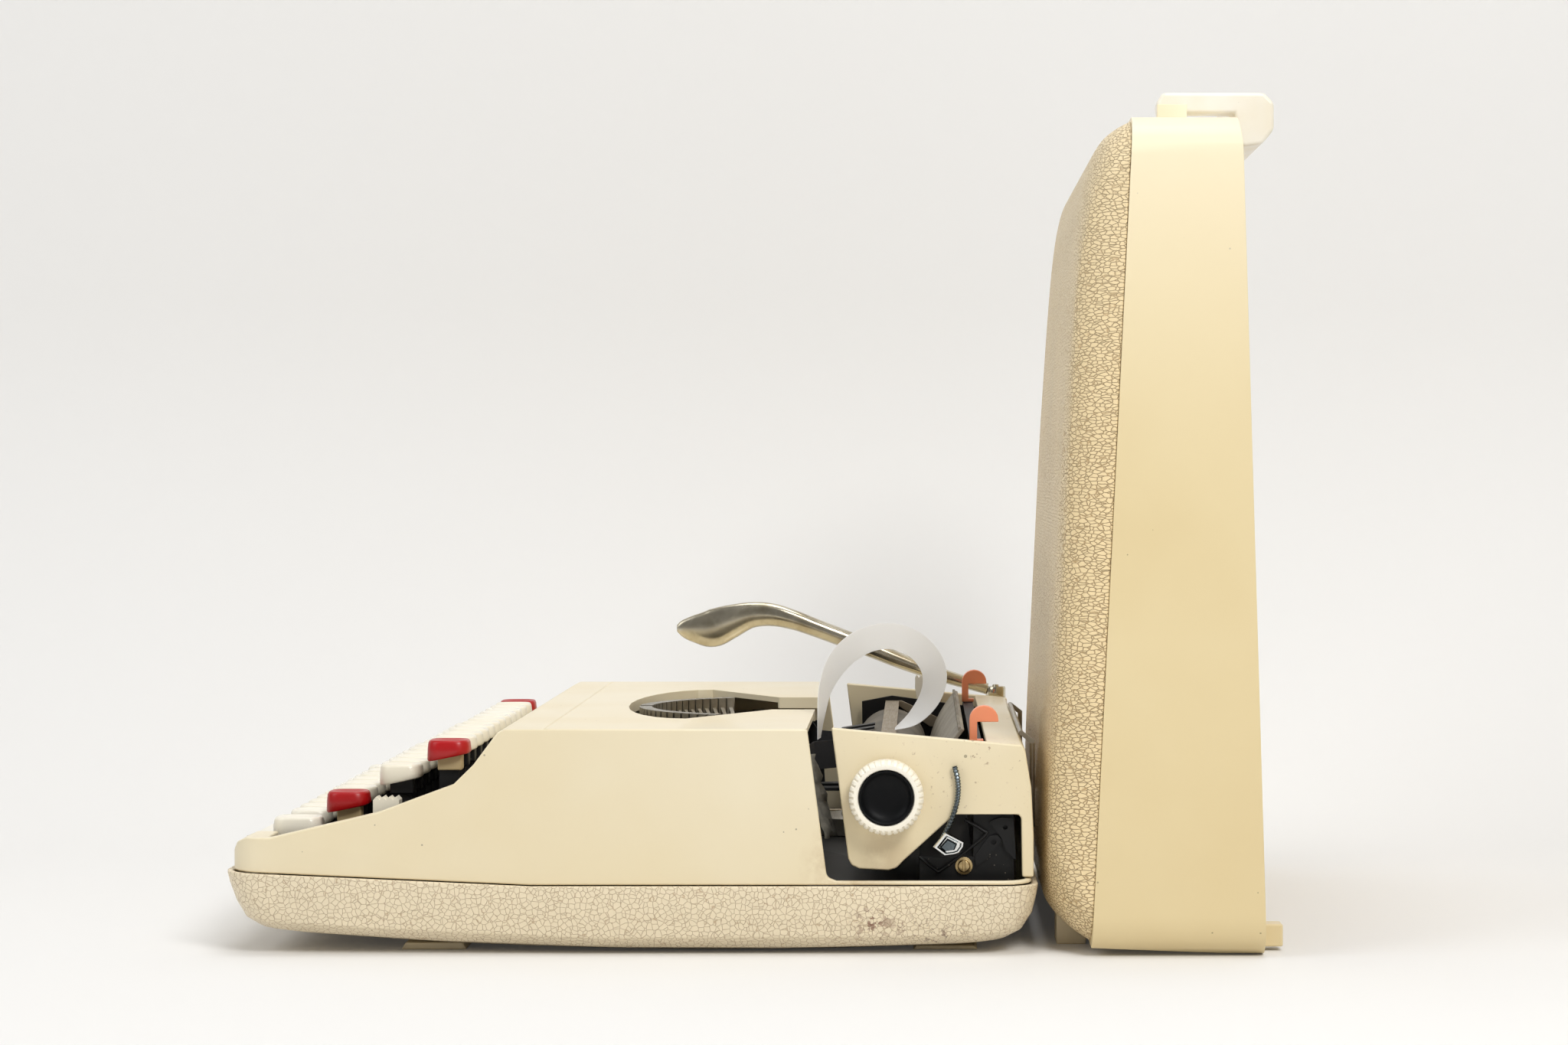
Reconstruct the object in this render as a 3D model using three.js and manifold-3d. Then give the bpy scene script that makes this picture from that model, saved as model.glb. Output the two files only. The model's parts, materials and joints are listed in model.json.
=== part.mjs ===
// A portable typewriter with its case lid standing on edge right behind it.
// Units are millimetres. +X is the typist's right, +Y the back, +Z up.
// Depths are measured from the front edge of the base tray while the pieces are made,
// and the finished group is shifted so that its origin is the middle of its footprint.

import * as THREE from 'three';
import { mergeVertices } from 'three/addons/utils/BufferGeometryUtils.js';
import Module from 'manifold-3d';

const wasm = await Module();
wasm.setup();

// Shared clearances and walls
const SEAT = 0.3; // gap between pieces that rest on each other
const RUN = 0.8; // gap round pieces that move past each other
const CUT = 4; // overrun of a cutting solid
const WALL = 2.6; // moulded plastic
const SHEET = 1.4; // pressed sheet metal
const PIN = 2; // radius of small pins and wires

// Keyboard
const KEY_PITCH = 19;
const KEY_WIDE = 14.4;
const KEY_TOP_SHARE = 0.84; // top of a key against its skirt
const KEY_HIGH = 6.6;
const STEM_WIDE = 8;
const LEVER_THICK = 1.8;
const LEVER_LOW = 36.4;
const LEVER_HIGH = 40;
const ROW_FRONT = 23.5; // middle of the lowest row
const ROW_STEP = 19.8;
const ROW_LOW = 43.4; // underside of the lowest row's keys
const ROW_RISE = 10.1;
const LINK_LOW = 46.4; // bar that joins the keys of a row
const LINK_HIGH = 49.4;
const FULCRUM_BACK = 49.1; // from the last row to the bar that the levers turn on
const FULCRUM_AT = ROW_FRONT + 3 * ROW_STEP + FULCRUM_BACK;
const FULCRUM_R = 2.2;
const BAR_HALF = 101;
const BAR_LONG = 14;
const BAR_THICK = 3.6;
const BAR_TOP = 40.6;
const SHIFT_AT = 6 * KEY_PITCH;
const BAR_GATE_HALF = SHIFT_AT + KEY_WIDE / 2 + RUN; // half width of the lowered front lip

// Widths, from the keyboard outwards
const WELL_CLEAR = 20.8; // from the shift keys to the sides of the well
const WELL_SIDE = 6;
const CHASSIS_CLEAR = 3;
const TRAY_LEDGE = 2; // how far the tray stands out of the housing
const WELL_HALF = SHIFT_AT + KEY_WIDE / 2 + WELL_CLEAR;
const CHASSIS_HALF = WELL_HALF - CHASSIS_CLEAR;
const BODY_HALF = WELL_HALF + WELL_SIDE;
const BASE_HALF = BODY_HALF + TRAY_LEDGE;

// Depths, from the keyboard backwards
const DECK_CLEAR = 14.9; // from the last row of keys to the deck
const DECK_LONG = 17;
const COVER_LONG = 21; // from the front of the cover to the type basket
const BASKET_SWELL = 29; // from the front of the basket to its widest place
const PIVOT_BACK = 16;
const SPOOL_BACK = 20;
const CHANNEL_BACK = 32;
const SEGMENT_BACK = 2;
const BODY_BACK = 16;
const PLATEN_BACK = 30;
const RAIL_BACK = 33;
const RAIL_LONG = 16;
const REAR_BACK = 7.1;
const REAR_LEDGE = 1.9;
const DECK_FRONT = ROW_FRONT + 3 * ROW_STEP + KEY_WIDE / 2 + DECK_CLEAR;
const COVER_FRONT = DECK_FRONT + DECK_LONG;
const BASKET_FRONT = COVER_FRONT + COVER_LONG;
const BASKET_WIDE_AT = BASKET_FRONT + BASKET_SWELL;
const STRIKE_PIVOT_AT = BASKET_WIDE_AT + PIVOT_BACK;
const SPOOL_DEPTH = BASKET_WIDE_AT + SPOOL_BACK;
const CHANNEL_AT = BASKET_WIDE_AT + CHANNEL_BACK;
const SEGMENT_AT = CHANNEL_AT + SEGMENT_BACK;
const BODY_REAR = SEGMENT_AT + BODY_BACK; // rear end of the top
const PLATEN_AT = BODY_REAR + PLATEN_BACK;
const RAIL_FRONT = PLATEN_AT + RAIL_BACK;
const RAIL_REAR = RAIL_FRONT + RAIL_LONG;
const REAR_OUT = RAIL_REAR + REAR_BACK;
const BASE_DEPTH = REAR_OUT + REAR_LEDGE;

// Base tray
const PART_FRONT = 32; // height of the parting line at the front
const PART_REAR = 26.7;
const PART_BEND_BACK = 12;
const PART_BEND = DECK_FRONT + PART_BEND_BACK; // depth at which the parting line levels out
const BASE_CORNER = 14;
const BELLY = 0.6; // lowest point of the tray above the floor
const BELLY_RISE = 9; // rise of the bottom at the tray's front edge
const BELLY_BACK = 120;
const BELLY_AT = BASE_DEPTH - BELLY_BACK; // depth of the lowest point
const FOOT_WIDE = 24;
const FOOT_LONG = 25;
const FOOT_IN = 33;
const FOOT_AT = BASE_HALF - FOOT_IN; // sideways place of the feet
const FOOT_FRONT = 78;
const FOOT_BACK = 48;
const FOOT_REAR = BASE_DEPTH - FOOT_BACK;

// Body housing
const BODY_TOP = 86;
const LIP_FRONT = 2.9;
const LIP_TOP = 44.9;
const WELL_FRONT = 17;
const BAR_GATE_TOP = 33;
const LEDGE_TOP = 28.6; // rim beside and behind the carriage
const COVER_THICK = 2.4;
const BASKET_HALF = 90;
const CHANNEL_HALF = 38;

// Type basket
const SEGMENT_R = 24;
const SEGMENT_LOW = 38;
const SEGMENT_HIGH = 50;
const TYPEBAR_COUNT = 30;
const TYPEBAR_SPREAD = 128; // degrees from the first bar to the last
const TYPEBAR_THICK = 1.7;
const TYPEBAR_DEEP = 3.4;
const TYPE_R = 57; // reach of the type from the middle of the segment
const TYPE_WIDE = 3.4;
const TYPE_DEEP = 4.6;
const TYPE_LOW = 74;
const TYPE_HIGH = 85;
const STRIKE_PIVOT_UP = 44;
const SPOOL_R = 23;
const SPOOL_HIGH = 15;
const SPOOL_AT = 106; // sideways place of the spools
const SPOOL_LOW = 59;

// Carriage
const PLATEN_UP = 60.3;
const PLATEN_R = 15.5;
const PLATEN_HALF = 116;
const SHAFT_R = 3;
const KNOB_R = 14.25;
const KNOB_CAP_R = 10.4;
const SIDE_CLEAR = 11;
const SIDE_THICK = 3;
const FRAME_LEDGE = 3;
const COVER_CLEAR = 3;
const COVER_WALL = 4;
const KNOB_REACH = 12; // how far the knobs stand out of the end covers
const SIDE_IN = PLATEN_HALF + SIDE_CLEAR; // inner face of the carriage frame's side plates
const SIDE_OUT = SIDE_IN + SIDE_THICK;
const FRAME_HALF = SIDE_OUT + FRAME_LEDGE;
const COVER_IN = FRAME_HALF + COVER_CLEAR; // inner face of the carriage's end covers
const COVER_OUT = COVER_IN + COVER_WALL;
const KNOB_OUT = COVER_OUT + KNOB_REACH;
const REAR_WALL = 3.4;
const CARRIAGE_TOP = 86;
const CARRIAGE_REAR_TOP = 79.4;
const CARRIAGE_LOW = 31.7;
const CUTOUT_TOP = 53;
const FRAME_TOP = CUTOUT_TOP - SEAT;

// Lid, standing on its rear edge
const LID_HALF = 155;
const LID_TOP = 318.8;
const LID_RISE = 3.3; // height of the rim's bottom at the shell
const LID_CORNER = 16;
const LID_CLEAR = 0.3; // from the tray to the shell's foremost point
const LID_LEAN = 15.6;
const LID_DEEP = 66;
const LID_TAPER = 10.1;
const LID_WALL = 3;
const SHELL_DEEP = 19.3; // how far the grained shell stands out of the rim
const LID_LEFT_LOW = BASE_DEPTH + SHELL_DEEP + LID_CLEAR;
const LID_LEFT_TOP = LID_LEFT_LOW + LID_LEAN;
const LID_OPEN_LOW = LID_LEFT_LOW + LID_DEEP;
const LID_OPEN_TOP = LID_OPEN_LOW - LID_TAPER;
const HANDLE_HALF = 60;
const HANDLE_DEEP = 47.6;
const HANDLE_HIGH = 22;
const HANDLE_DROP = 3.8;
const HANDLE_REACH = 12.4;
const HANDLE_OUT = LID_OPEN_LOW + HANDLE_REACH;
const OVERALL = HANDLE_OUT;

// Colours
const CREAM = material(0xe9dcb9, 0.42, 0);
const GRAINED = material(0xd8c6a2, 0.7, 0);
const LID_CREAM = material(0xe6d2a4, 0.42, 0);
const WHITE = material(0xf1ecdd, 0.35, 0);
const RED = material(0xb8222e, 0.35, 0);
const BLACK = material(0x17181a, 0.5, 0.2);
const STEEL = material(0x9a9a96, 0.35, 0.9);
const CHROME = material(0xc9c9c6, 0.15, 1);
const ALLOY = material(0xb4b1a6, 0.3, 1);
const RUBBER = material(0x6d6455, 0.8, 0);
const SALMON = material(0xf08a63, 0.45, 0);
const PAPER = material(0xf5f2ea, 0.9, 0);
const RIBBON = material(0x101010, 0.9, 0);
const BRASS = material(0xa98c4c, 0.4, 0.9);

function material(color, roughness, metalness) {
  return new THREE.MeshStandardMaterial({ color, roughness, metalness });
}

// Solids from three.js geometries

function solid(geometry) {
  const bare = new THREE.BufferGeometry();
  bare.setAttribute('position', geometry.attributes.position);
  if (geometry.index) bare.setIndex(geometry.index);
  const merged = mergeVertices(bare, 1e-4);
  const vertProperties = new Float32Array(merged.attributes.position.array);
  const triVerts = new Uint32Array(merged.index.array);
  if (signedVolume(vertProperties, triVerts) < 0) triVerts.reverse();
  return new wasm.Manifold(new wasm.Mesh({ numProp: 3, vertProperties, triVerts }));
}

// Volume inside the faces, negative where they point in
function signedVolume(places, faces) {
  const [a, b, c] = [new THREE.Vector3(), new THREE.Vector3(), new THREE.Vector3()];
  let sum = 0;
  for (let k = 0; k < faces.length; k += 3) {
    a.fromArray(places, 3 * faces[k]);
    b.fromArray(places, 3 * faces[k + 1]);
    c.fromArray(places, 3 * faces[k + 2]);
    sum += a.dot(b.cross(c));
  }
  return sum / 6;
}

function outline(points) {
  return new THREE.Shape(points.map(([a, b]) => new THREE.Vector2(a, b)));
}

// An outline in (depth, height) stretched sideways from x0 to x1
function prismX(points, x0, x1) {
  const made = new THREE.ExtrudeGeometry(outline(points), { depth: x1 - x0, bevelEnabled: false });
  const turn = new THREE.Matrix4().makeBasis(
    new THREE.Vector3(0, 1, 0),
    new THREE.Vector3(0, 0, 1),
    new THREE.Vector3(1, 0, 0),
  );
  made.applyMatrix4(turn).translate(x0, 0, 0);
  return solid(made);
}

// An outline in (sideways, height) stretched in depth from y0 to y1
function prismY(points, y0, y1) {
  const made = new THREE.ExtrudeGeometry(outline(points), { depth: y1 - y0, bevelEnabled: false });
  made.rotateX(Math.PI / 2).translate(0, y1, 0);
  return solid(made);
}

// An outline in (sideways, depth) stretched upward from z0 to z1
function prismZ(points, z0, z1) {
  const made = new THREE.ExtrudeGeometry(outline(points), { depth: z1 - z0, bevelEnabled: false });
  made.translate(0, 0, z0);
  return solid(made);
}

function block(x0, x1, y0, y1, z0, z1) {
  const made = new THREE.BoxGeometry(x1 - x0, y1 - y0, z1 - z0);
  made.translate((x0 + x1) / 2, (y0 + y1) / 2, (z0 + z1) / 2);
  return solid(made);
}

// A round bar along X, Y or Z between two places on that axis
function bar(axis, a, b, from, to, radius, sides = 16) {
  const made = new THREE.CylinderGeometry(radius, radius, to - from, sides);
  const middle = (from + to) / 2;
  if (axis === 'x') made.rotateZ(Math.PI / 2).translate(middle, a, b);
  if (axis === 'y') made.translate(a, middle, b);
  if (axis === 'z') made.rotateX(Math.PI / 2).translate(a, b, middle);
  return solid(made);
}

// A turned piece about an axis along X, from (radius, place) pairs
function turnedX(profile, y, z, sides = 32) {
  const made = new THREE.LatheGeometry(profile.map(([r, p]) => new THREE.Vector2(r, p)), sides);
  made.rotateZ(-Math.PI / 2).translate(0, y, z);
  return solid(made);
}

// A turned piece about an upright axis
function turnedZ(profile, x, y, sides = 24) {
  const made = new THREE.LatheGeometry(profile.map(([r, p]) => new THREE.Vector2(r, p)), sides);
  made.rotateX(Math.PI / 2).translate(x, y, 0);
  return solid(made);
}

// A closed skin over rings that all have as many points; a ladder cap joins mirrored points
function loft(rings, cap = capFaces) {
  const count = rings[0].length;
  const points = rings.flat();
  const faces = [];
  for (let k = 0; k + 1 < rings.length; k += 1) {
    for (let i = 0; i < count; i += 1) {
      const a = k * count + i;
      const b = k * count + ((i + 1) % count);
      faces.push(a, b, b + count, a, b + count, a + count);
    }
  }
  const last = (rings.length - 1) * count;
  cap(rings[0]).forEach(([a, b, c]) => faces.push(a, c, b));
  cap(rings[rings.length - 1]).forEach(([a, b, c]) => faces.push(last + a, last + b, last + c));
  const made = new THREE.BufferGeometry();
  made.setAttribute('position', new THREE.Float32BufferAttribute(points.flat(), 3));
  made.setIndex(faces);
  return solid(made);
}

// Triangles over a ring, seen along the direction that it faces
function capFaces(ring) {
  const normal = new THREE.Vector3();
  ring.forEach((p, i) => {
    const q = ring[(i + 1) % ring.length];
    normal.x += (p[1] - q[1]) * (p[2] + q[2]);
    normal.y += (p[2] - q[2]) * (p[0] + q[0]);
    normal.z += (p[0] - q[0]) * (p[1] + q[1]);
  });
  normal.normalize();
  const side = Math.abs(normal.z) > 0.8 ? new THREE.Vector3(1, 0, 0) : new THREE.Vector3(0, 0, 1);
  const u = new THREE.Vector3().crossVectors(side, normal).normalize();
  const v = new THREE.Vector3().crossVectors(normal, u);
  const flat = ring.map((p) => {
    const at = new THREE.Vector3(...p);
    return new THREE.Vector2(at.dot(u), at.dot(v));
  });
  return THREE.ShapeUtils.triangulateShape(flat, []);
}

// Rungs between the mirrored points of a rounded rectangle that is bowed along its length
function ladderFaces(ring) {
  const faces = [];
  for (let i = 0; i + 1 < ring.length / 2; i += 1) {
    const [c, d] = [ring.length - 2 - i, ring.length - 1 - i];
    faces.push([i, i + 1, c], [i, c, d]);
  }
  return faces;
}

// A rounded rectangle as (sideways, along) points, counter-clockwise
function roundedRing(half, low, high, corner, steps = 4, along = 1) {
  const r = Math.min(corner, half, (high - low) / 2);
  const centres = [
    [half - r, low + r, -90],
    [half - r, high - r, 0],
    [-half + r, high - r, 90],
    [-half + r, low + r, 180],
  ];
  const points = [];
  centres.forEach(([cx, cy, start], index) => {
    for (let k = 0; k <= steps; k += 1) {
      const angle = THREE.MathUtils.degToRad(start + (90 * k) / steps);
      points.push([cx + r * Math.cos(angle), cy + r * Math.sin(angle)]);
    }
    const next = centres[(index + 1) % 4];
    const angle = THREE.MathUtils.degToRad(start + 90);
    const from = [cx + r * Math.cos(angle), cy + r * Math.sin(angle)];
    const to = [next[0] + r * Math.cos(angle), next[1] + r * Math.sin(angle)];
    const runs = index % 2 === 0 ? along : 1;
    for (let k = 1; k < runs; k += 1) {
      const t = k / runs;
      points.push([from[0] + (to[0] - from[0]) * t, from[1] + (to[1] - from[1]) * t]);
    }
  });
  return points;
}

function union(parts) {
  return parts.reduce((sum, part) => sum.add(part));
}

const typewriter = new THREE.Group();
typewriter.position.y = -OVERALL / 2;

function place(name, body, look) {
  const data = body.getMesh();
  const made = new THREE.BufferGeometry();
  made.setAttribute('position', new THREE.BufferAttribute(new Float32Array(data.vertProperties), 3));
  made.setIndex(new THREE.BufferAttribute(new Uint32Array(data.triVerts), 1));
  const mesh = new THREE.Mesh(made, look);
  mesh.name = name;
  typewriter.add(mesh);
}

// An outline in shares of a width and a height, set at its lower front corner
function outlineOf(shares, at, up, wide, high) {
  return shares.map(([a, b]) => [at + wide * a, up + high * b]);
}

function mirrored(body) {
  return body.mirror([1, 0, 0]);
}

// Both ends of a piece that has a left and a right copy
function placePair(name, body, look) {
  place(`${name}_right`, body, look);
  place(`${name}_left`, mirrored(body), look);
}

// Base tray, a shallow moulded dish with a bowed bottom

function partingHeight(y) {
  return PART_REAR + (PART_FRONT - PART_REAR) * Math.max(0, 1 - y / PART_BEND);
}

function bellyHeight(y) {
  return BELLY + BELLY_RISE * ((y - BELLY_AT) / BELLY_AT) ** 2;
}

// Level of a ring between the bottom and the parting line, and its insets as shares of the rise
const TRAY_LEVEL_SHARES = [
  [0, 0.62, 0.7, 0.72],
  [0.07, 0.42, 0.46, 0.36],
  [0.22, 0.26, 0.24, 0.14],
  [0.5, 0.13, 0.09, 0.06],
  [0.8, 0.04, 0.03, 0.02],
  [1, 0, 0, 0],
];

const SIDE_RUNS = 18; // stretches along each side, so that the bowed bottom is smooth

function trayBody(wall) {
  const rise = PART_REAR - BELLY;
  const rings = TRAY_LEVEL_SHARES.map(([level, front, rear, side]) => {
    const half = BASE_HALF - wall - rise * side;
    const corner = BASE_CORNER - wall;
    const ring = roundedRing(
      half,
      wall + rise * front,
      BASE_DEPTH - wall - rise * rear,
      corner,
      4,
      SIDE_RUNS,
    );
    return ring.map(([x, y]) => {
      const low = bellyHeight(y) + wall;
      return [x, y, low + (partingHeight(y) - low) * level];
    });
  });
  const last = rings[rings.length - 1];
  rings.push(last.map(([x, y, z]) => [x, y, z + CUT]));
  return loft(rings, ladderFaces);
}

function baseTray() {
  const below = [
    [-CUT, -CUT],
    [BASE_DEPTH + CUT, -CUT],
    [BASE_DEPTH + CUT, PART_REAR],
    [PART_BEND, PART_REAR],
    [-CUT, partingHeight(-CUT)],
  ];
  return trayBody(0).intersect(
    prismX(below, -BODY_HALF - CUT, BODY_HALF + CUT),
  ).subtract(trayBody(WALL));
}

function footAt(y) {
  const top = Math.min(bellyHeight(y), bellyHeight(y + FOOT_LONG)) - SEAT;
  const bevel = FOOT_LONG * 0.06;
  const side = [[y, 0], [y + FOOT_LONG, 0], [y + FOOT_LONG - bevel, top], [y + bevel, top]];
  return prismX(side, FOOT_AT - FOOT_WIDE / 2, FOOT_AT + FOOT_WIDE / 2);
}

// Body housing: side walls, lip and deck in one moulding

const BODY_SIDE = [
  [LIP_FRONT, partingHeight(LIP_FRONT) + SEAT],
  [LIP_FRONT, LIP_TOP * 0.86],
  [LIP_FRONT + LIP_TOP * 0.05, LIP_TOP * 0.96],
  [LIP_FRONT + LIP_TOP * 0.14, LIP_TOP],
  [WELL_FRONT + WALL / 2, LIP_TOP],
  [DECK_FRONT * 0.564, BODY_TOP * 0.634],
  [DECK_FRONT * 0.762, BODY_TOP * 0.722],
  [DECK_FRONT * 0.837, BODY_TOP * 0.757],
  [DECK_FRONT * 0.91, BODY_TOP * 0.845],
  [DECK_FRONT * 0.995, BODY_TOP * 0.985],
  [DECK_FRONT * 1.02, BODY_TOP],
  [BODY_REAR, BODY_TOP],
  [BODY_REAR * 1.033, BODY_TOP * 0.36],
  [BODY_REAR * 1.037, LEDGE_TOP * 1.04],
  [BODY_REAR * 1.05, LEDGE_TOP],
  [BASE_DEPTH - WALL, LEDGE_TOP],
  [BASE_DEPTH - WALL, PART_REAR + SEAT],
  [PART_BEND, PART_REAR + SEAT],
];

const DECK_UNDER = BODY_TOP - WALL;
const CABIN_REAR = BODY_REAR * 1.04;

function bodyHousing() {
  const outer = prismX(BODY_SIDE, -BODY_HALF, BODY_HALF);
  const plan = roundedRing(BODY_HALF, LIP_FRONT, BASE_DEPTH - WALL, BASE_CORNER - WALL, 4);
  const body = outer.intersect(prismZ(plan, -CUT, BODY_TOP + CUT));
  const inHalf = BODY_HALF - WALL;
  const cabin = [
    [LIP_FRONT + WALL, -CUT],
    [LIP_FRONT + WALL, LIP_TOP - WALL],
    [WELL_FRONT, LIP_TOP - WALL],
    [DECK_FRONT * 0.85, BODY_TOP * 0.72],
    [DECK_FRONT + WALL, DECK_UNDER],
    [CABIN_REAR, DECK_UNDER],
    [CABIN_REAR, LEDGE_TOP + CUT],
    [BASE_DEPTH - 2 * WALL, LEDGE_TOP + CUT],
    [BASE_DEPTH - 2 * WALL, -CUT],
  ];
  const well = [
    [WELL_FRONT, LIP_TOP - 2 * WALL],
    [WELL_FRONT, BODY_TOP + CUT],
    [DECK_FRONT - WALL, BODY_TOP + CUT],
    [DECK_FRONT - WALL, BODY_TOP * 0.9],
    [DECK_FRONT * 0.9, BODY_TOP * 0.8],
    [DECK_FRONT * 0.8, BODY_TOP * 0.6],
  ];
  const gate = block(
    -BAR_GATE_HALF,
    BAR_GATE_HALF,
    LIP_FRONT - CUT,
    WELL_FRONT + CUT,
    BAR_GATE_TOP,
    BODY_TOP,
  );
  const deck = block(-inHalf, inHalf, COVER_FRONT, CABIN_REAR + CUT, DECK_UNDER - CUT, BODY_TOP + CUT);
  const inPlan = roundedRing(
    inHalf,
    LIP_FRONT + WALL,
    BASE_DEPTH - 2 * WALL,
    BASE_CORNER - 2 * WALL,
    4,
  );
  return body
    .subtract(prismX(cabin, -inHalf, inHalf).intersect(prismZ(inPlan, -CUT, BODY_TOP + CUT)))
    .subtract(prismX(well, -WELL_HALF, WELL_HALF))
    .subtract(gate)
    .subtract(deck);
}

// Ribbon cover, the loose part of the deck, with the opening over the type basket

function basketOutline() {
  const points = [];
  const steps = 14;
  for (let k = 0; k <= steps; k += 1) {
    const angle = Math.PI * (k / steps) + Math.PI;
    const reach = BASKET_WIDE_AT - BASKET_FRONT;
    points.push([BASKET_HALF * Math.cos(angle), BASKET_WIDE_AT + reach * Math.sin(angle)]);
  }
  const shoulder = (BASKET_WIDE_AT + CHANNEL_AT) / 2;
  const middle = (BASKET_HALF + CHANNEL_HALF) / 2;
  return [
    ...points,
    [middle, shoulder],
    [CHANNEL_HALF, CHANNEL_AT],
    [CHANNEL_HALF, BODY_REAR + CUT],
    [-CHANNEL_HALF, BODY_REAR + CUT],
    [-CHANNEL_HALF, CHANNEL_AT],
    [-middle, shoulder],
  ];
}

function ribbonCover() {
  const half = BODY_HALF - WALL - SEAT;
  const plate = prismZ(
    roundedRing(half, COVER_FRONT + SEAT, BODY_REAR - SEAT, WALL, 3),
    BODY_TOP - COVER_THICK,
    BODY_TOP,
  );
  const rimDeep = COVER_THICK * 2;
  const skirt = prismZ(
    basketOutline().map(([x, y]) => [x * 1.03, y - WALL / 2]),
    BODY_TOP - rimDeep,
    BODY_TOP,
  );
  const clip = block(-half, half, COVER_FRONT + SEAT, BODY_REAR - SEAT, 0, BODY_TOP);
  return plate.add(skirt.intersect(clip)).subtract(prismZ(basketOutline(), 0, BODY_TOP + CUT));
}

// Chassis: pressed floor and two side frames that the keyboard hangs in

const CHASSIS_LOW = 20;
const CHASSIS_TOP = CHASSIS_LOW + SHEET;
const POST_AT = 118; // sideways place of the chassis posts
const POST_WIDE = 8;

function chassisPost(y) {
  const low = Math.max(bellyHeight(y), bellyHeight(y + POST_WIDE)) + WALL + 2 * SEAT;
  return block(POST_AT - POST_WIDE / 2, POST_AT + POST_WIDE / 2, y, y + POST_WIDE, low, CHASSIS_TOP);
}

function chassis() {
  const front = WELL_FRONT + WALL;
  const low = CHASSIS_TOP;
  const plan = roundedRing(CHASSIS_HALF, front, RAIL_REAR, BASE_CORNER, 4);
  const floor = prismZ(plan, low - SHEET, low);
  const posts = [FOOT_FRONT, FOOT_REAR].map(chassisPost);
  const spindle = bar('z', SPOOL_AT, SPOOL_DEPTH, CHASSIS_LOW, SPOOL_LOW - SEAT, 2 * PIN, 12);
  const cheek = prismX(
    [
      [WELL_FRONT + WALL, low - SHEET / 2],
      [WELL_FRONT + WALL, LIP_TOP - 2 * WALL],
      [DECK_FRONT * 0.8, BODY_TOP * 0.56],
      [DECK_FRONT, BODY_TOP * 0.8],
      [BODY_REAR - WALL, BODY_TOP * 0.8],
      [BODY_REAR, low - SHEET / 2],
    ],
    CHASSIS_HALF - SHEET,
    CHASSIS_HALF,
  );
  const half = union([cheek, spindle, ...posts]);
  return union([floor, half, mirrored(half)]);
}

// Rear frame under the carriage; the end covers pass round its section

const FRAME_FRONT = PLATEN_AT + PLATEN_R * 0.8;
const FRAME_FLANGE_TOP = CARRIAGE_LOW + 1.7 * WALL;

function frameSection(wall) {
  const low = wall > 0 ? CHASSIS_LOW - CUT : CHASSIS_TOP + SEAT;
  return [
    [FRAME_FRONT + wall, low],
    [RAIL_REAR - wall, low],
    [RAIL_REAR - wall, FRAME_TOP - wall],
    [RAIL_FRONT + wall, FRAME_TOP - wall],
    [RAIL_FRONT + wall, FRAME_FLANGE_TOP - wall],
    [FRAME_FRONT + wall, FRAME_FLANGE_TOP - wall],
  ];
}

function rearFrame() {
  const side = frameSection(0);
  const inside = frameSection(WALL);
  return prismX(side, -FRAME_HALF, FRAME_HALF).subtract(
    prismX(inside, -FRAME_HALF + WALL, FRAME_HALF - WALL),
  );
}

const SCREW_AT = RAIL_FRONT - 3.4;
const SCREW_UP = FRAME_FLANGE_TOP - WALL * 1.3;
const SCREW_R = 3.4;

function frameScrew() {
  const face = FRAME_HALF + SEAT;
  const profile = [
    [0, face],
    [SCREW_R, face],
    [SCREW_R, face + SCREW_R * 0.2],
    [SCREW_R * 0.7, face + SCREW_R * 0.25],
    [SCREW_R * 0.6, face + SCREW_R * 0.6],
    [0, face + SCREW_R * 0.65],
  ];
  const slot = SCREW_R * 0.12;
  const cut = block(
    face + SCREW_R * 0.4,
    face + CUT,
    SCREW_AT - slot,
    SCREW_AT + slot,
    SCREW_UP - CUT,
    SCREW_UP + CUT,
  );
  return turnedX(profile, SCREW_AT, SCREW_UP, 20).subtract(cut);
}

// Keyboard

// A key top: a skirt that tapers up to a dished face
function keyTop(x, y, low, wide = KEY_WIDE, long = KEY_WIDE) {
  const ring = (share, up) =>
    roundedRing((wide / 2) * share, (-long / 2) * share, (long / 2) * share, KEY_WIDE * 0.3, 2).map(
      ([a, b]) => [x + a, y + b, up],
    );
  const rim = low + KEY_HIGH;
  return loft(
    [ring(1, low), ring(KEY_TOP_SHARE, rim), ring(KEY_TOP_SHARE * 0.8, rim - KEY_HIGH * 0.14)],
  );
}

// The lever and post that carry a key, back to the fulcrum bar
function keyLever(x, y, low) {
  const half = LEVER_THICK / 2;
  const back = FULCRUM_AT - FULCRUM_R - SEAT;
  const lever = block(x - half, x + half, y - STEM_WIDE / 2, back, LEVER_LOW, LEVER_HIGH);
  const post = block(
    x - half,
    x + half,
    y - STEM_WIDE / 2,
    y + STEM_WIDE / 2,
    LEVER_LOW,
    low + KEY_HIGH / 4,
  );
  const stem = STEM_WIDE / 2;
  const socket = block(
    x - stem,
    x + stem,
    y - stem,
    y + stem,
    low - KEY_HIGH * 0.7,
    low + KEY_HIGH / 4,
  );
  return union([lever, post, socket]);
}

function rowLow(row) {
  return ROW_LOW + ROW_RISE * row;
}

function rowDepth(row) {
  return ROW_FRONT + ROW_STEP * row;
}

// Half pitches from the middle to each row's first key, and the row's number of character keys
const ROW_START = [-9, -9.75, -10.25, -9.25];
const ROW_KEYS = [10, 11, 12, 11];

function keyPlace(row, index) {
  return (ROW_START[row] / 2 + index) * KEY_PITCH;
}

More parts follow.
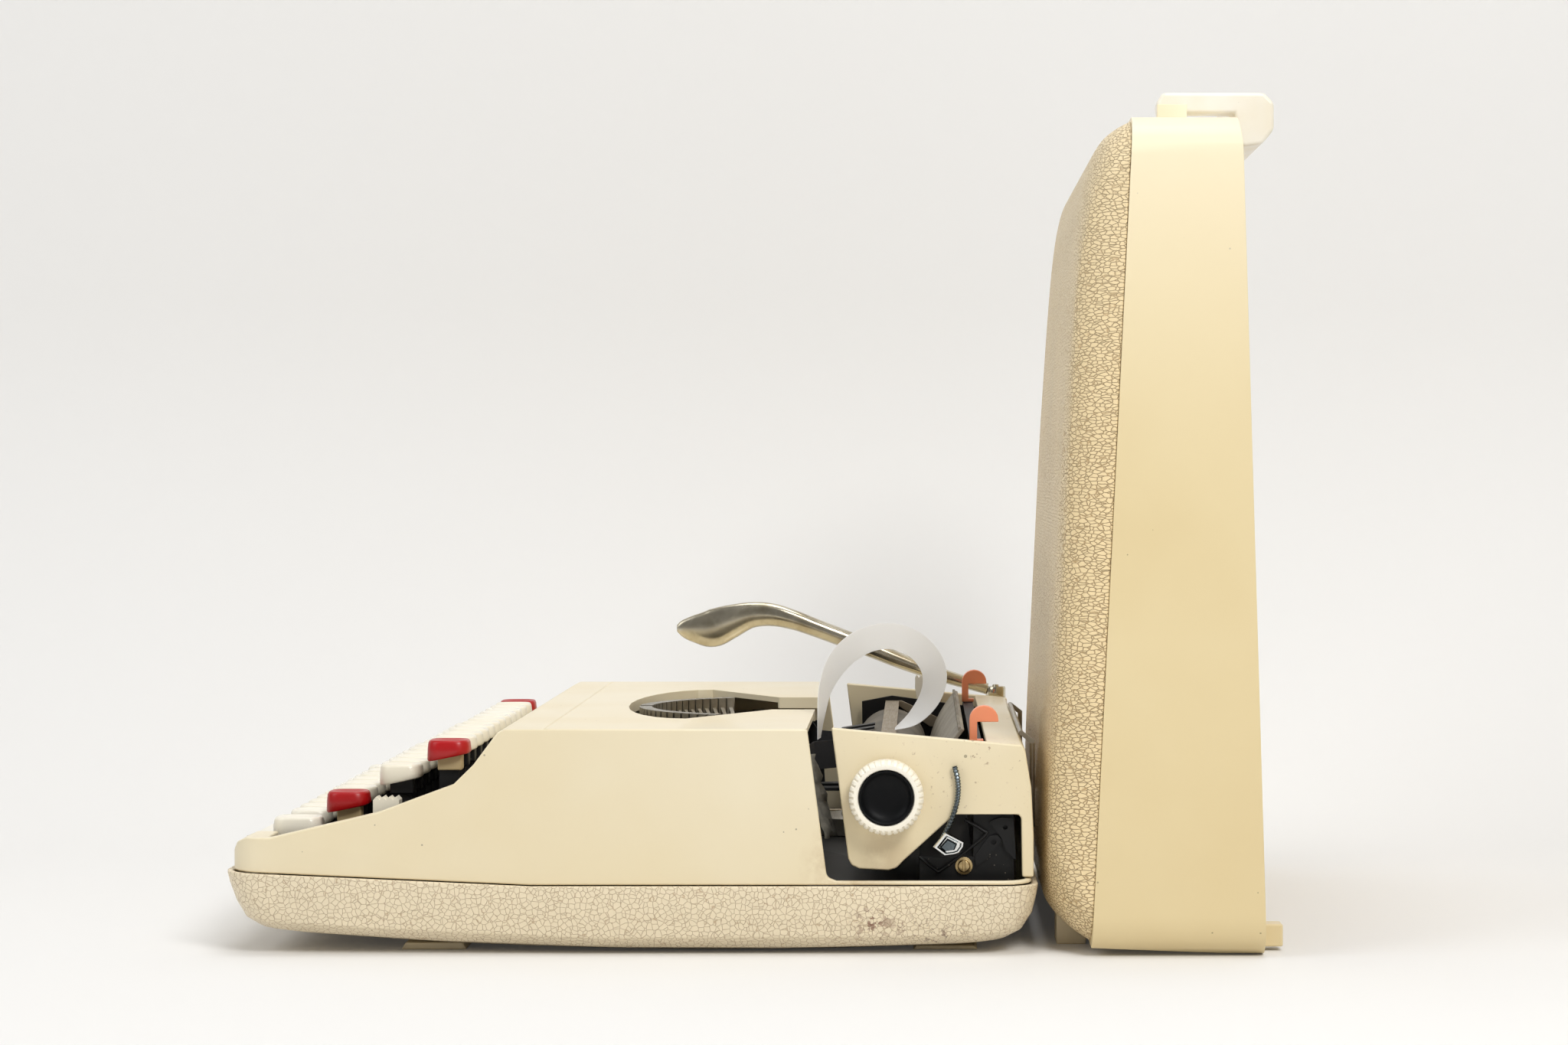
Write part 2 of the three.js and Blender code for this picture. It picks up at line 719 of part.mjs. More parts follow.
function keyRow(row) {
  const y = rowDepth(row);
  const low = rowLow(row);
  const parts = [];
  for (let k = 0; k < ROW_KEYS[row]; k += 1) {
    const x = keyPlace(row, k);
    parts.push(keyTop(x, y, low), keyLever(x, y, low));
  }
  const from = keyPlace(row, 0);
  const to = keyPlace(row, ROW_KEYS[row] - 1);
  const lift = row === 0 ? LEVER_LOW : LINK_LOW;
  const inset = LEVER_THICK / 4;
  const front = row === 0 ? y - STEM_WIDE / 2 + inset : y + STEM_WIDE / 2 - LEVER_THICK - inset;
  parts.push(block(from, to, front, front + LEVER_THICK, lift, lift + LINK_HIGH - LINK_LOW));
  return union(parts);
}

function singleKey(x, row, wide, long) {
  return keyTop(x, rowDepth(row), rowLow(row), wide, long).add(keyLever(x, rowDepth(row), rowLow(row)));
}

// Places of the function keys beyond the ends of their rows
const SPACE_ARM_AT = BAR_HALF - 3 * PIN;

// The shaft that both shift keys turn on lies under the key levers
const SHIFT_SHAFT_AT = FULCRUM_AT - 3.5 * PIN;
const SHIFT_SHAFT_UP = LEVER_LOW - 3.2 * PIN;

function shiftShaft() {
  const reach = CHASSIS_HALF - SHEET - SEAT;
  return bar('x', SHIFT_SHAFT_AT, SHIFT_SHAFT_UP, -reach, reach, PIN, 10);
}

function shiftKey() {
  const y = rowDepth(0);
  const low = rowLow(0);
  const top = keyTop(SHIFT_AT, y, low, KEY_WIDE, KEY_WIDE * 1.2);
  const half = LEVER_THICK / 2;
  const back = SHIFT_SHAFT_AT - PIN - SEAT;
  const lever = block(SHIFT_AT - half, SHIFT_AT + half, y - STEM_WIDE / 2, back, LEVER_LOW, LEVER_HIGH);
  const tail = block(
    SHIFT_AT - half,
    SHIFT_AT + half,
    back - 3 * PIN,
    back,
    SHIFT_SHAFT_UP - PIN,
    LEVER_HIGH,
  );
  const stem = STEM_WIDE / 2;
  const socket = block(
    SHIFT_AT - stem,
    SHIFT_AT + stem,
    y - stem,
    y + stem,
    LEVER_LOW,
    low + KEY_HIGH / 4,
  );
  return union([top, lever, tail, socket]);
}

function spaceBar() {
  const front = SEAT;
  const side = [
    [front, BAR_TOP - BAR_THICK * 0.5],
    [front + BAR_THICK * 0.4, BAR_TOP],
    [front + BAR_LONG, BAR_TOP + BAR_THICK * 0.1],
    [front + BAR_LONG, BAR_TOP - BAR_THICK],
    [front + BAR_THICK * 0.4, BAR_TOP - BAR_THICK],
  ];
  const parts = [prismX(side, -BAR_HALF, BAR_HALF)];
  const back = FULCRUM_AT - FULCRUM_R - SEAT;
  [-1, 1].forEach((way) => {
    const x = way * SPACE_ARM_AT;
    const half = LEVER_THICK / 2;
    parts.push(
      block(x - half, x + half, front + BAR_LONG / 2, back, LEVER_LOW, LEVER_HIGH - BAR_THICK / 4),
    );
  });
  return union(parts);
}

function fulcrumBar() {
  const up = (LEVER_LOW + LEVER_HIGH) / 2;
  const reach = CHASSIS_HALF - SHEET - SEAT;
  return bar('x', FULCRUM_AT, up, -reach, reach, FULCRUM_R, 12);
}

// Ribbon colour selector, a toothed tab on an arm at the right of the keys
const SELECTOR_X = 131;

function ribbonSelector() {
  const y = 60.5;
  const top = 60;
  const teeth = 4;
  const half = 5;
  const tooth = (2 * half) / teeth;
  const edge = [[y + half, top - 4 * PIN], [y - half, top - 4 * PIN]];
  for (let k = 0; k < teeth; k += 1) {
    edge.push([y - half + tooth * k, top - PIN], [y - half + tooth * (k + 0.5), top - PIN / 3]);
  }
  edge.push([y + half, top - PIN]);
  const tab = prismX(edge, SELECTOR_X - 2 * PIN, SELECTOR_X + 2 * PIN);
  const arm = block(
    SELECTOR_X - SHEET / 2,
    SELECTOR_X + SHEET / 2,
    y - PIN,
    y + PIN,
    LEVER_HIGH,
    top - 3.5 * PIN,
  );
  const pivot = bar('x', y, LEVER_HIGH, SELECTOR_X, CHASSIS_HALF - SHEET - SEAT, PIN, 10);
  return union([tab, arm, pivot]);
}

// Type basket

function typeSegment() {
  const disc = bar('z', 0, SEGMENT_AT, SEGMENT_LOW, SEGMENT_HIGH, SEGMENT_R, 36);
  const bore = bar('z', 0, SEGMENT_AT, SEGMENT_LOW - CUT, SEGMENT_HIGH + CUT, SEGMENT_R * 0.5, 24);
  const cut = block(-BODY_HALF, BODY_HALF, SEGMENT_AT + SEGMENT_R * 0.2, BODY_REAR * 2, 0, BODY_TOP);
  const slot = block(-TYPEBAR_THICK, TYPEBAR_THICK, 0, SEGMENT_AT, SEGMENT_LOW + WALL, BODY_TOP);
  const leg = block(
    -SEGMENT_R * 0.6,
    SEGMENT_R * 0.6,
    SEGMENT_AT - SEGMENT_R * 0.9,
    SEGMENT_AT - SEGMENT_R * 0.5,
    CHASSIS_TOP + SEAT,
    SEGMENT_LOW + WALL / 2,
  );
  return disc.subtract(bore).subtract(cut).subtract(slot).add(leg);
}

// One type bar along a spoke: a thin bar that rises to a block of type
function typebarSpoke(angle) {
  const half = TYPEBAR_THICK / 2;
  const root = SEGMENT_R + SEAT;
  const side = [
    [-root, SEGMENT_HIGH - TYPEBAR_DEEP],
    [-root, SEGMENT_HIGH],
    [-TYPE_R + TYPE_DEEP / 2, TYPE_HIGH - TYPEBAR_DEEP],
    [-TYPE_R + TYPE_DEEP / 2, TYPE_LOW],
  ];
  const arm = prismX(side, -half, half);
  const type = block(
    -TYPE_WIDE / 2,
    TYPE_WIDE / 2,
    -TYPE_R - TYPE_DEEP / 2,
    -TYPE_R + TYPE_DEEP / 2 + WALL / 4,
    TYPE_LOW,
    TYPE_HIGH,
  );
  return arm.add(type).rotate([0, 0, angle]).translate([0, SEGMENT_AT, 0]);
}

// The rest that the type bars lie on, a curved pad below the type
function typeRest() {
  const profile = [
    [TYPE_R - TYPE_DEEP * 2, TYPE_LOW - 4 * WALL],
    [TYPE_R - TYPE_DEEP, TYPE_LOW - 4 * WALL],
    [TYPE_R - TYPE_DEEP, TYPE_LOW - 1.3 * WALL],
    [TYPE_R - TYPE_DEEP * 2, TYPE_LOW - 1.3 * WALL],
    [TYPE_R - TYPE_DEEP * 2, TYPE_LOW - 4 * WALL],
  ];
  const ring = turnedZ(profile, 0, SEGMENT_AT, 48);
  const front = [];
  const reach = 2 * TYPE_R;
  for (let k = 0; k <= 8; k += 1) {
    const angle = THREE.MathUtils.degToRad(-90 + TYPEBAR_SPREAD * (k / 8 - 0.5));
    front.push([reach * Math.cos(angle), SEGMENT_AT + reach * Math.sin(angle)]);
  }
  const notch = block(-TYPEBAR_THICK, TYPEBAR_THICK, 0, SEGMENT_AT, TYPE_LOW - 2.2 * WALL, TYPE_LOW);
  return ring.intersect(prismZ([[0, SEGMENT_AT], ...front], 0, BODY_TOP)).subtract(notch);
}

function typebarFan() {
  const parts = [typeRest()];
  for (let k = 0; k < TYPEBAR_COUNT; k += 1) {
    const place = k + 0.5 - TYPEBAR_COUNT / 2;
    const middleGap = Math.sign(place) / 2;
    parts.push(typebarSpoke((TYPEBAR_SPREAD / TYPEBAR_COUNT) * (place + middleGap)));
  }
  return union(parts);
}

// The bar of the sampled key lies in the middle slot of the segment
const STRIKE_REACH = 53;
const STRIKE_REST = 42.7; // degrees above the horizontal at rest

function strikeBar() {
  const half = TYPEBAR_THICK / 2 - SEAT;
  const arm = block(-half, half, -STRIKE_REACH, 0, -TYPEBAR_DEEP / 2, TYPEBAR_DEEP / 2);
  const type = block(
    -half * 2,
    half * 2,
    -STRIKE_REACH,
    -STRIKE_REACH + TYPE_DEEP,
    -TYPEBAR_DEEP,
    TYPEBAR_DEEP * 1.4,
  );
  return arm.add(type).rotate([-STRIKE_REST, 0, 0]).translate([0, STRIKE_PIVOT_AT, STRIKE_PIVOT_UP]);
}

function spool() {
  const low = SPOOL_LOW;
  const high = SPOOL_LOW + SPOOL_HIGH;
  const profile = [
    [0, low],
    [SPOOL_R, low],
    [SPOOL_R, low + SHEET],
    [SPOOL_R * 0.85, low + SHEET],
    [SPOOL_R * 0.85, high - SHEET],
    [SPOOL_R, high - SHEET],
    [SPOOL_R, high],
    [PIN * 2, high],
    [PIN * 1.5, high + PIN],
    [0, high + PIN],
  ];
  return turnedZ(profile, SPOOL_AT, SPOOL_DEPTH, 28);
}

// The guide that holds the ribbon and the paper at the printing point

const GUIDE_HALF = 14;
const GUIDE_IN = 6;
const GUIDE_FRONT = PLATEN_AT - PLATEN_R - 5;

function ribbonGuide() {
  const low = SEGMENT_HIGH + SEAT;
  const fold = PLATEN_UP + PLATEN_R * 0.85;
  const side = [
    [SEGMENT_AT - SEGMENT_R * 0.3, low],
    [GUIDE_FRONT + SHEET, low],
    [GUIDE_FRONT + SHEET, fold],
    [PLATEN_AT - PLATEN_R * 0.4, fold + 2 * SHEET],
    [PLATEN_AT - PLATEN_R * 0.4, fold + 2.6 * SHEET],
    [GUIDE_FRONT, fold + SHEET],
    [GUIDE_FRONT, low + SHEET],
    [SEGMENT_AT - SEGMENT_R * 0.3, low + SHEET],
  ];
  const arm = prismX(side, GUIDE_IN, GUIDE_HALF);
  const bridge = block(-GUIDE_HALF, GUIDE_HALF, GUIDE_FRONT, GUIDE_FRONT + SHEET, low, low + 4 * SHEET);
  return union([arm, mirrored(arm), bridge]);
}

const RIBBON_LOW = SPOOL_LOW + SHEET + SEAT;
const RIBBON_HIGH = SPOOL_LOW + SPOOL_HIGH - SHEET - SEAT;
const RIBBON_THICK = 0.5;
const RIBBON_AT = PLATEN_AT - PLATEN_R - 1.6;

// The inked ribbon, from one spool round the guide to the other
function inkRibbon() {
  const spoolEdge = SPOOL_DEPTH + SPOOL_R + SEAT;
  const right = [
    [SPOOL_AT, spoolEdge],
    [2.3 * GUIDE_HALF, spoolEdge + PIN * 3],
    [GUIDE_HALF + PIN, RIBBON_AT],
  ];
  const line = [...right, ...right.map(([x, y]) => [-x, y]).reverse()];
  const back = line.map(([x, y]) => [x, y - RIBBON_THICK]).reverse();
  return prismZ([...line, ...back], RIBBON_LOW, RIBBON_HIGH);
}

function mainspringDrum() {
  const low = CHASSIS_TOP + SEAT;
  const high = low + 3 * WALL;
  const profile = [
    [0, low],
    [SPOOL_R * 0.9, low],
    [SPOOL_R * 0.9, high],
    [SPOOL_R * 0.3, high],
    [SPOOL_R * 0.3, high + SHEET],
    [0, high + SHEET],
  ];
  return turnedZ(profile, -SPOOL_AT * 0.9, PLATEN_AT - PLATEN_R, 28);
}

// Carriage

const COVER_LEG_LOW = LEDGE_TOP + 2 * SEAT;
const COVER_FRONT_TOP = PLATEN_AT - 21;
const COVER_FRONT_LOW = PLATEN_AT - 14.6;

const COVER_FOOT_WIDE = 21.3;
const COVER_FOOT_HIGH = 4.5;
const COVER_LEG = 4.4;
const CUTOUT_FRONT = PLATEN_AT + 26;
const CURVE_LOW = 7.4;
const CURVE_HIGH = 10.4;
const CURVE_IN = 0.9;
const EDGE_IN = 3.2;
const EDGE_LOW = 1.8;

// The rounded lower front corner of an end cover, as shares of its width and height
const COVER_FOOT_SHARES = [
  [0, 1],
  [0.0563, 0.467],
  [0.197, 0.133],
  [0.723, 0],
  [0.864, 0.2],
  [1, 0.867],
];

// The back of the carriage, from its leg up to the top edge
const REAR_PROFILE = [
  [REAR_OUT, COVER_LEG_LOW],
  [REAR_OUT, CUTOUT_TOP - CURVE_LOW],
  [REAR_OUT - CURVE_IN, CUTOUT_TOP + CURVE_HIGH],
  [REAR_OUT - EDGE_IN, CARRIAGE_REAR_TOP - EDGE_LOW],
  [REAR_OUT - COVER_LEG, CARRIAGE_REAR_TOP],
];

// The outline of an end cover, with the cut-out that passes round the rear frame
const END_COVER_SIDE = [
  [COVER_FRONT_TOP, CARRIAGE_TOP],
  ...outlineOf(COVER_FOOT_SHARES, COVER_FRONT_LOW, CARRIAGE_LOW, COVER_FOOT_WIDE, COVER_FOOT_HIGH),
  [CUTOUT_FRONT, CUTOUT_TOP],
  [REAR_OUT - COVER_LEG - SHEET, CUTOUT_TOP],
  [REAR_OUT - COVER_LEG - SEAT, CUTOUT_TOP - SHEET],
  [REAR_OUT - COVER_LEG, COVER_LEG_LOW],
  ...REAR_PROFILE,
];

function endCover() {
  const plate = prismX(END_COVER_SIDE, COVER_IN, COVER_OUT);
  const hole = bar('x', PLATEN_AT, PLATEN_UP, COVER_IN - CUT, COVER_OUT + CUT, SHAFT_R + SEAT, 16);
  return plate.subtract(hole);
}

const REAR_COVER_DEEP = 18;

function rearCover() {
  const front = REAR_OUT - REAR_COVER_DEEP;
  const edge = REAR_OUT - COVER_LEG;
  const topFall = (CARRIAGE_TOP - CARRIAGE_REAR_TOP) / (edge - COVER_FRONT_TOP);
  const frontTop = CARRIAGE_REAR_TOP + (edge - front) * topFall;
  const side = [
    [front, frontTop],
    [front, frontTop - WALL],
    [REAR_OUT - 2.5 * WALL, CARRIAGE_REAR_TOP - WALL],
    [REAR_OUT - REAR_WALL - SHEET, CUTOUT_TOP + CURVE_HIGH],
    [REAR_OUT - REAR_WALL, CUTOUT_TOP - CURVE_LOW],
    [REAR_OUT - REAR_WALL, COVER_LEG_LOW],
    ...REAR_PROFILE,
  ];
  return prismX(side, -COVER_IN + SEAT, COVER_IN - SEAT);
}

// Foot of the paper table, and how far its back face drops against its thickness
const TABLE_FOOT_AT = PLATEN_AT + PLATEN_R * 1.06;
const TABLE_FOOT_UP = PLATEN_UP - PLATEN_R * 0.25;
const TABLE_LEAN = 0.4;

// Two side plates joined by the truck that runs on the rear frame's rail and by the table's shelf
function carriageFrame() {
  const low = CUTOUT_TOP + SEAT;
  const side = [
    [COVER_FRONT_LOW + SHEET, CARRIAGE_LOW + 2 * WALL],
    [PLATEN_AT, CARRIAGE_LOW + 2 * WALL],
    [(PLATEN_AT + CUTOUT_FRONT) / 2, low],
    [RAIL_REAR - RUN, low],
    [RAIL_REAR - RUN, CARRIAGE_REAR_TOP - 2 * WALL],
    [PLATEN_AT, CARRIAGE_TOP - 2 * WALL],
    [COVER_FRONT_LOW + RUN, CARRIAGE_TOP - 3 * WALL],
  ];
  const hole = bar('x', PLATEN_AT, PLATEN_UP, SIDE_IN - CUT, COVER_IN + CUT, SHAFT_R + SEAT, 16);
  const plate = prismX(side, SIDE_IN, SIDE_OUT).subtract(hole);
  const spacer = block(
    SIDE_OUT - SHEET,
    COVER_IN - SEAT,
    RAIL_FRONT - 4 * PIN,
    RAIL_FRONT - PIN,
    low + WALL,
    low + 3 * WALL,
  );
  const end = plate.add(spacer);
  const tread = FRAME_TOP + SEAT;
  const truck = block(
    -SIDE_IN - SHEET,
    SIDE_IN + SHEET,
    RAIL_FRONT,
    RAIL_REAR - 2 * PIN,
    tread,
    tread + 1.5 * WALL,
  );
  const shelf = block(
    -SIDE_IN - SHEET,
    SIDE_IN + SHEET,
    TABLE_FOOT_AT - SEAT,
    TABLE_FOOT_AT + 3 * SHEET,
    low,
    TABLE_FOOT_UP - SHEET * TABLE_LEAN - SEAT,
  );
  return union([end, mirrored(end), truck, shelf]);
}

function platen() {
  const reach = KNOB_OUT - 2 * WALL - SEAT;
  const profile = [
    [0, -reach],
    [SHAFT_R, -reach],
    [SHAFT_R, -PLATEN_HALF],
    [PLATEN_R, -PLATEN_HALF],
    [PLATEN_R, PLATEN_HALF],
    [SHAFT_R, PLATEN_HALF],
    [SHAFT_R, reach],
    [0, reach],
  ];
  return turnedX(profile, PLATEN_AT, PLATEN_UP, 32);
}

// The line-space ratchet on the platen's left end
function ratchet() {
  const teeth = 26;
  const points = [];
  const root = PLATEN_R * 0.78;
  for (let k = 0; k < teeth; k += 1) {
    const angle = (2 * Math.PI * k) / teeth;
    const next = (2 * Math.PI * (k + 0.7)) / teeth;
    points.push([PLATEN_AT + root * Math.cos(angle), PLATEN_UP + root * Math.sin(angle)]);
    points.push([PLATEN_AT + root * 1.12 * Math.cos(next), PLATEN_UP + root * 1.12 * Math.sin(next)]);
  }
  const out = PLATEN_HALF + SEAT;
  const bore = bar('x', PLATEN_AT, PLATEN_UP, -out - 2 * CUT, -out + CUT, SHAFT_R + SEAT, 16);
  return prismX(points, -out - 2 * SHEET, -out).subtract(bore);
}

const KNOB_RIBS = 36;
const KNOB_LIP = 0.8;
const KNOB_RECESS = 4.6;
const CAP_FLOOR = 3.4;
const CAP_DISH = 1.8;
const CAP_RINGS = 4;

// A knob with a ribbed rim, open at the front for its dark cap
function knob() {
  const inner = COVER_OUT + RUN;
  const points = [];
  for (let k = 0; k < 2 * KNOB_RIBS; k += 1) {
    const angle = (Math.PI * k) / KNOB_RIBS;
    const r = k % 2 === 0 ? KNOB_R : KNOB_R * 0.965;
    points.push([PLATEN_AT + r * Math.cos(angle), PLATEN_UP + r * Math.sin(angle)]);
  }
  const back = turnedX(
    [[0, inner], [KNOB_R * 0.8, inner], [KNOB_R * 0.9, inner + RUN], [0, inner + RUN]],
    PLATEN_AT,
    PLATEN_UP,
    KNOB_RIBS,
  );
  const rim = prismX(points, inner + RUN / 2, KNOB_OUT - 2 * KNOB_LIP);
  const lip = KNOB_CAP_R + SEAT;
  const profile = [
    [0, KNOB_OUT - WALL],
    [KNOB_R * 0.95, KNOB_OUT - WALL],
    [KNOB_R * 0.93, KNOB_OUT - KNOB_LIP],
    [KNOB_R * 0.86, KNOB_OUT],
    [0, KNOB_OUT],
  ];
  const face = turnedX(profile, PLATEN_AT, PLATEN_UP, KNOB_RIBS);
  const recess = bar('x', PLATEN_AT, PLATEN_UP, KNOB_OUT - KNOB_RECESS, KNOB_OUT + CUT, lip, KNOB_RIBS);
  const bore = bar('x', PLATEN_AT, PLATEN_UP, inner - CUT, KNOB_OUT - 2 * WALL, SHAFT_R + SEAT, 16);
  const deep = bar('x', PLATEN_AT, PLATEN_UP, inner - CUT, KNOB_OUT, SHAFT_R + SEAT, 16);
  return union([back, rim, face]).subtract(recess).subtract(bore).subtract(deep);
}

// The dark cap, dished like a saucer
function knobCap() {
  const floor = KNOB_OUT - KNOB_RECESS + SEAT;
  const profile = [
    [0, floor],
    [KNOB_CAP_R, floor],
    [KNOB_CAP_R, KNOB_OUT - KNOB_LIP],
    [KNOB_CAP_R * 0.9, KNOB_OUT - 1.5 * KNOB_LIP],
  ];
  for (let k = CAP_RINGS; k >= 0; k -= 1) {
    const share = k / CAP_RINGS;
    const out = KNOB_OUT - CAP_FLOOR + CAP_DISH * share * share;
    profile.push([KNOB_CAP_R * 0.8 * share, out]);
  }
  return turnedX(profile, PLATEN_AT, PLATEN_UP, 32);
}

// The table curves up from behind the platen, and its top edge lies just under the covers' edge
function paperTable() {
  const low = new THREE.Vector2(TABLE_FOOT_AT, TABLE_FOOT_UP);
  const bend = new THREE.Vector2(PLATEN_AT + PLATEN_R * 1.1, PLATEN_UP + PLATEN_R * 0.62);
  const high = new THREE.Vector2(PLATEN_AT + PLATEN_R * 1.85, CARRIAGE_TOP - 2);
  const side = new THREE.QuadraticBezierCurve(low, bend, high).getPoints(8);
  const back = side.map((p) => new THREE.Vector2(p.x + SHEET, p.y - SHEET * TABLE_LEAN)).reverse();
  return prismX([...side, ...back].map((p) => [p.x, p.y]), -PLATEN_HALF, PLATEN_HALF);
}

const BAIL_PIVOT_AT = PLATEN_AT + PLATEN_R * 1.25;
const BAIL_PIVOT_UP = PLATEN_UP + PLATEN_R * 0.55;

const BAIL_HALF = 3;
const BAIL_GAP = 1.5;

// The bail: a flat bar over the platen on two arms
function paperBail() {
  const out = SIDE_IN - SEAT;
  const low = PLATEN_UP + PLATEN_R + BAIL_GAP;
  const strap = prismX(
    [
      [PLATEN_AT - BAIL_HALF, low + SHEET],
      [PLATEN_AT - BAIL_HALF + SHEET, low],
      [PLATEN_AT + BAIL_HALF, low],
      [PLATEN_AT + BAIL_HALF + SEAT, low + SHEET],
    ],
    -out,
    out,
  );
  const arm = prismX(
    [
      [PLATEN_AT + SHEET, low],
      [PLATEN_AT + SHEET, low + SHEET],
      [PLATEN_AT + BAIL_HALF + SHEET, low + SHEET],
      [BAIL_PIVOT_AT + PIN, BAIL_PIVOT_UP + PIN],
      [BAIL_PIVOT_AT + PIN, BAIL_PIVOT_UP - PIN],
      [BAIL_PIVOT_AT - PIN, BAIL_PIVOT_UP - PIN],
    ],
    out - SHEET,
    out,
  );
  return union([strap, arm, mirrored(arm)]);
}

const RAIL_BAR_AT = REAR_OUT - 21.5;
const RAIL_BAR_UP = CARRIAGE_REAR_TOP - 2.4;

function marginRail() {
  const half = PIN * 1.2;
  return block(
    -SIDE_IN + SEAT,
    SIDE_IN - SEAT,
    RAIL_BAR_AT - half,
    RAIL_BAR_AT + half,
    RAIL_BAR_UP - half * 1.4,
    RAIL_BAR_UP + half * 0.6,
  );
}

// A margin stop: a rider on the rail, with a stem and a half-round tip
const STOP_AT = SIDE_IN - 8;
const STOP_WIDE = 5;
const STOP_STEM_HIGH = 9;
const STOP_TIP_R = 5.6;
const STOP_TIP_FACETS = 10;

function marginStop() {
  const half = PIN * 1.2 + SEAT;
  const low = RAIL_BAR_UP + PIN * 0.72 + SEAT;
  const tipLow = low + STOP_STEM_HIGH;
  const tipR = STOP_TIP_R;
  const rider = block(
    STOP_AT - STOP_WIDE / 2,
    STOP_AT + STOP_WIDE / 2,
    RAIL_BAR_AT - half,
    RAIL_BAR_AT + half,
    low,
    low + SHEET,
  );
  const stem = block(
    STOP_AT - STOP_WIDE / 2,
    STOP_AT + STOP_WIDE / 2,
    RAIL_BAR_AT - half,
    RAIL_BAR_AT + half * 0.1,
    low,
    tipLow,
  );
  const points = [];
  for (let k = 0; k <= STOP_TIP_FACETS; k += 1) {
    const angle = (Math.PI * k) / STOP_TIP_FACETS;
    const out = tipR - tipR * Math.cos(angle);
    points.push([RAIL_BAR_AT - half + out, tipLow + tipR * 0.98 * Math.sin(angle)]);
  }
  const bevel = tipR * 0.14;
  const low2 = [[RAIL_BAR_AT - half + 2 * tipR, tipLow - bevel], [RAIL_BAR_AT - half, tipLow - bevel]];
  const tip = prismX([...points, ...low2], STOP_AT - STOP_WIDE / 2, STOP_AT + STOP_WIDE / 2);
  return union([rider, stem, tip]);
}

// Return lever, outside the left end cover
const LEVER_OUT = 9.6;
const LEVER_IN = 8;
const LEVER_X = -COVER_OUT - LEVER_OUT;
const LEVER_PIVOT_AT = REAR_OUT - LEVER_IN;
const LEVER_PIVOT_UP = CARRIAGE_REAR_TOP - SEAT;

const BRACKET_FRONT = 6;
const BRACKET_BACK = 5;
const BRACKET_HIGH = 16;

function leverBracket() {
  const top = LEVER_PIVOT_UP - SEAT;
  const front = LEVER_PIVOT_AT - BRACKET_FRONT;
  const back = LEVER_PIVOT_AT + BRACKET_BACK;
  return block(LEVER_X - BRACKET_BACK, -COVER_OUT - SEAT, front, back, top - BRACKET_HIGH, top);
}

const LEVER_ROOT_IN = 14;
const LEVER_ROOT = REAR_OUT - LEVER_ROOT_IN; // where the rod leaves its boss
const LEVER_REACH = 142.4;
const LEVER_CLIMB = 37.4;
const LEVER_BLADE_HALF = 8.6;
const LEVER_ROD_HALF = 3.4;
const LEVER_SIDES = 10;
const LEVER_BOSS_R = 4.6;
const LEVER_BOSS_HIGH = 5.5;
const LEVER_NECK_HALF = 2;

// Rings of the lever, as shares of its reach, its climb, its half height and its half width
const LEVER_RING_SHARES = [
  [0, 0.1016, 0.291, 0.765],
  [0.1966, 0.278, 0.384, 1],
  [0.4705, 0.711, 0.488, 1],
  [0.6321, 0.925, 0.581, 0.882],
  [0.7163, 1, 0.674, 0.765],
  [0.8005, 0.968, 0.884, 0.676],
  [0.8848, 0.8556, 1, 0.647],
  [0.9551, 0.7968, 0.767, 0.588],
  [1, 0.7754, 0.302, 0.471],
];

// The rings of a rod whose sections face along its own way
function leverRings() {
  const rings = LEVER_RING_SHARES.map(([out, up, high, wide]) => [
    LEVER_ROOT - LEVER_REACH * out,
    LEVER_PIVOT_UP + LEVER_CLIMB * up,
    LEVER_BLADE_HALF * high,
    LEVER_ROD_HALF * wide,
  ]);
  return rings.map(([y, z, high, wide], index) => {
    const before = rings[Math.max(index - 1, 0)];
    const after = rings[Math.min(index + 1, rings.length - 1)];
    const way = new THREE.Vector2(after[0] - before[0], after[1] - before[1]).normalize();
    const ring = [];
    for (let k = 0; k < LEVER_SIDES; k += 1) {
      const angle = (2 * Math.PI * k) / LEVER_SIDES;
      const up = high * Math.sin(angle);
      ring.push([LEVER_X + wide * Math.cos(angle), y + way.y * up, z - way.x * up]);
    }
    return ring;
  });
}

function returnLever() {
  const arm = loft(leverRings());
  const bossTop = LEVER_PIVOT_UP + LEVER_BOSS_HIGH;
  const boss = bar('z', LEVER_X, LEVER_PIVOT_AT, LEVER_PIVOT_UP, bossTop, LEVER_BOSS_R, 20);
  const neck = block(
    LEVER_X - LEVER_NECK_HALF,
    LEVER_X + LEVER_NECK_HALF,
    REAR_OUT - 6 * WALL,
    LEVER_PIVOT_AT,
    LEVER_PIVOT_UP + LEVER_BOSS_HIGH * 0.3,
    bossTop - SEAT,
  );
  return union([arm, boss, neck]);
}

// Carriage release at the right end: a knurled strip with a box-shaped tab
const RELEASE_X = COVER_OUT + SEAT;

const RELEASE_THICK = 5;
const RELEASE_AT = PLATEN_AT + 19;
const RELEASE_WIDE = 8.2;
const RELEASE_LOW = CUTOUT_TOP - 11;
const RELEASE_HIGH = 29;
const RELEASE_TAB_AT = PLATEN_AT + 17.6;
const RELEASE_TAB_WIDE = 11.6;
const RELEASE_TAB_LOW = CUTOUT_TOP - 15.2;
const RELEASE_TAB_HIGH = 8.4;

// Outlines of the strip and of the tab, as shares of their width and height
const RELEASE_STRIP_SHARES = [
  [0.854, 1],
  [1, 0.7],
  [0.89, 0.459],
  [0.61, 0.266],
  [0, 0],
];
const RELEASE_TAB_SHARES = [
  [0, 0.214],
  [0.336, 1],
  [1, 0.667],
  [0.81, 0.143],
  [0.362, 0],
];

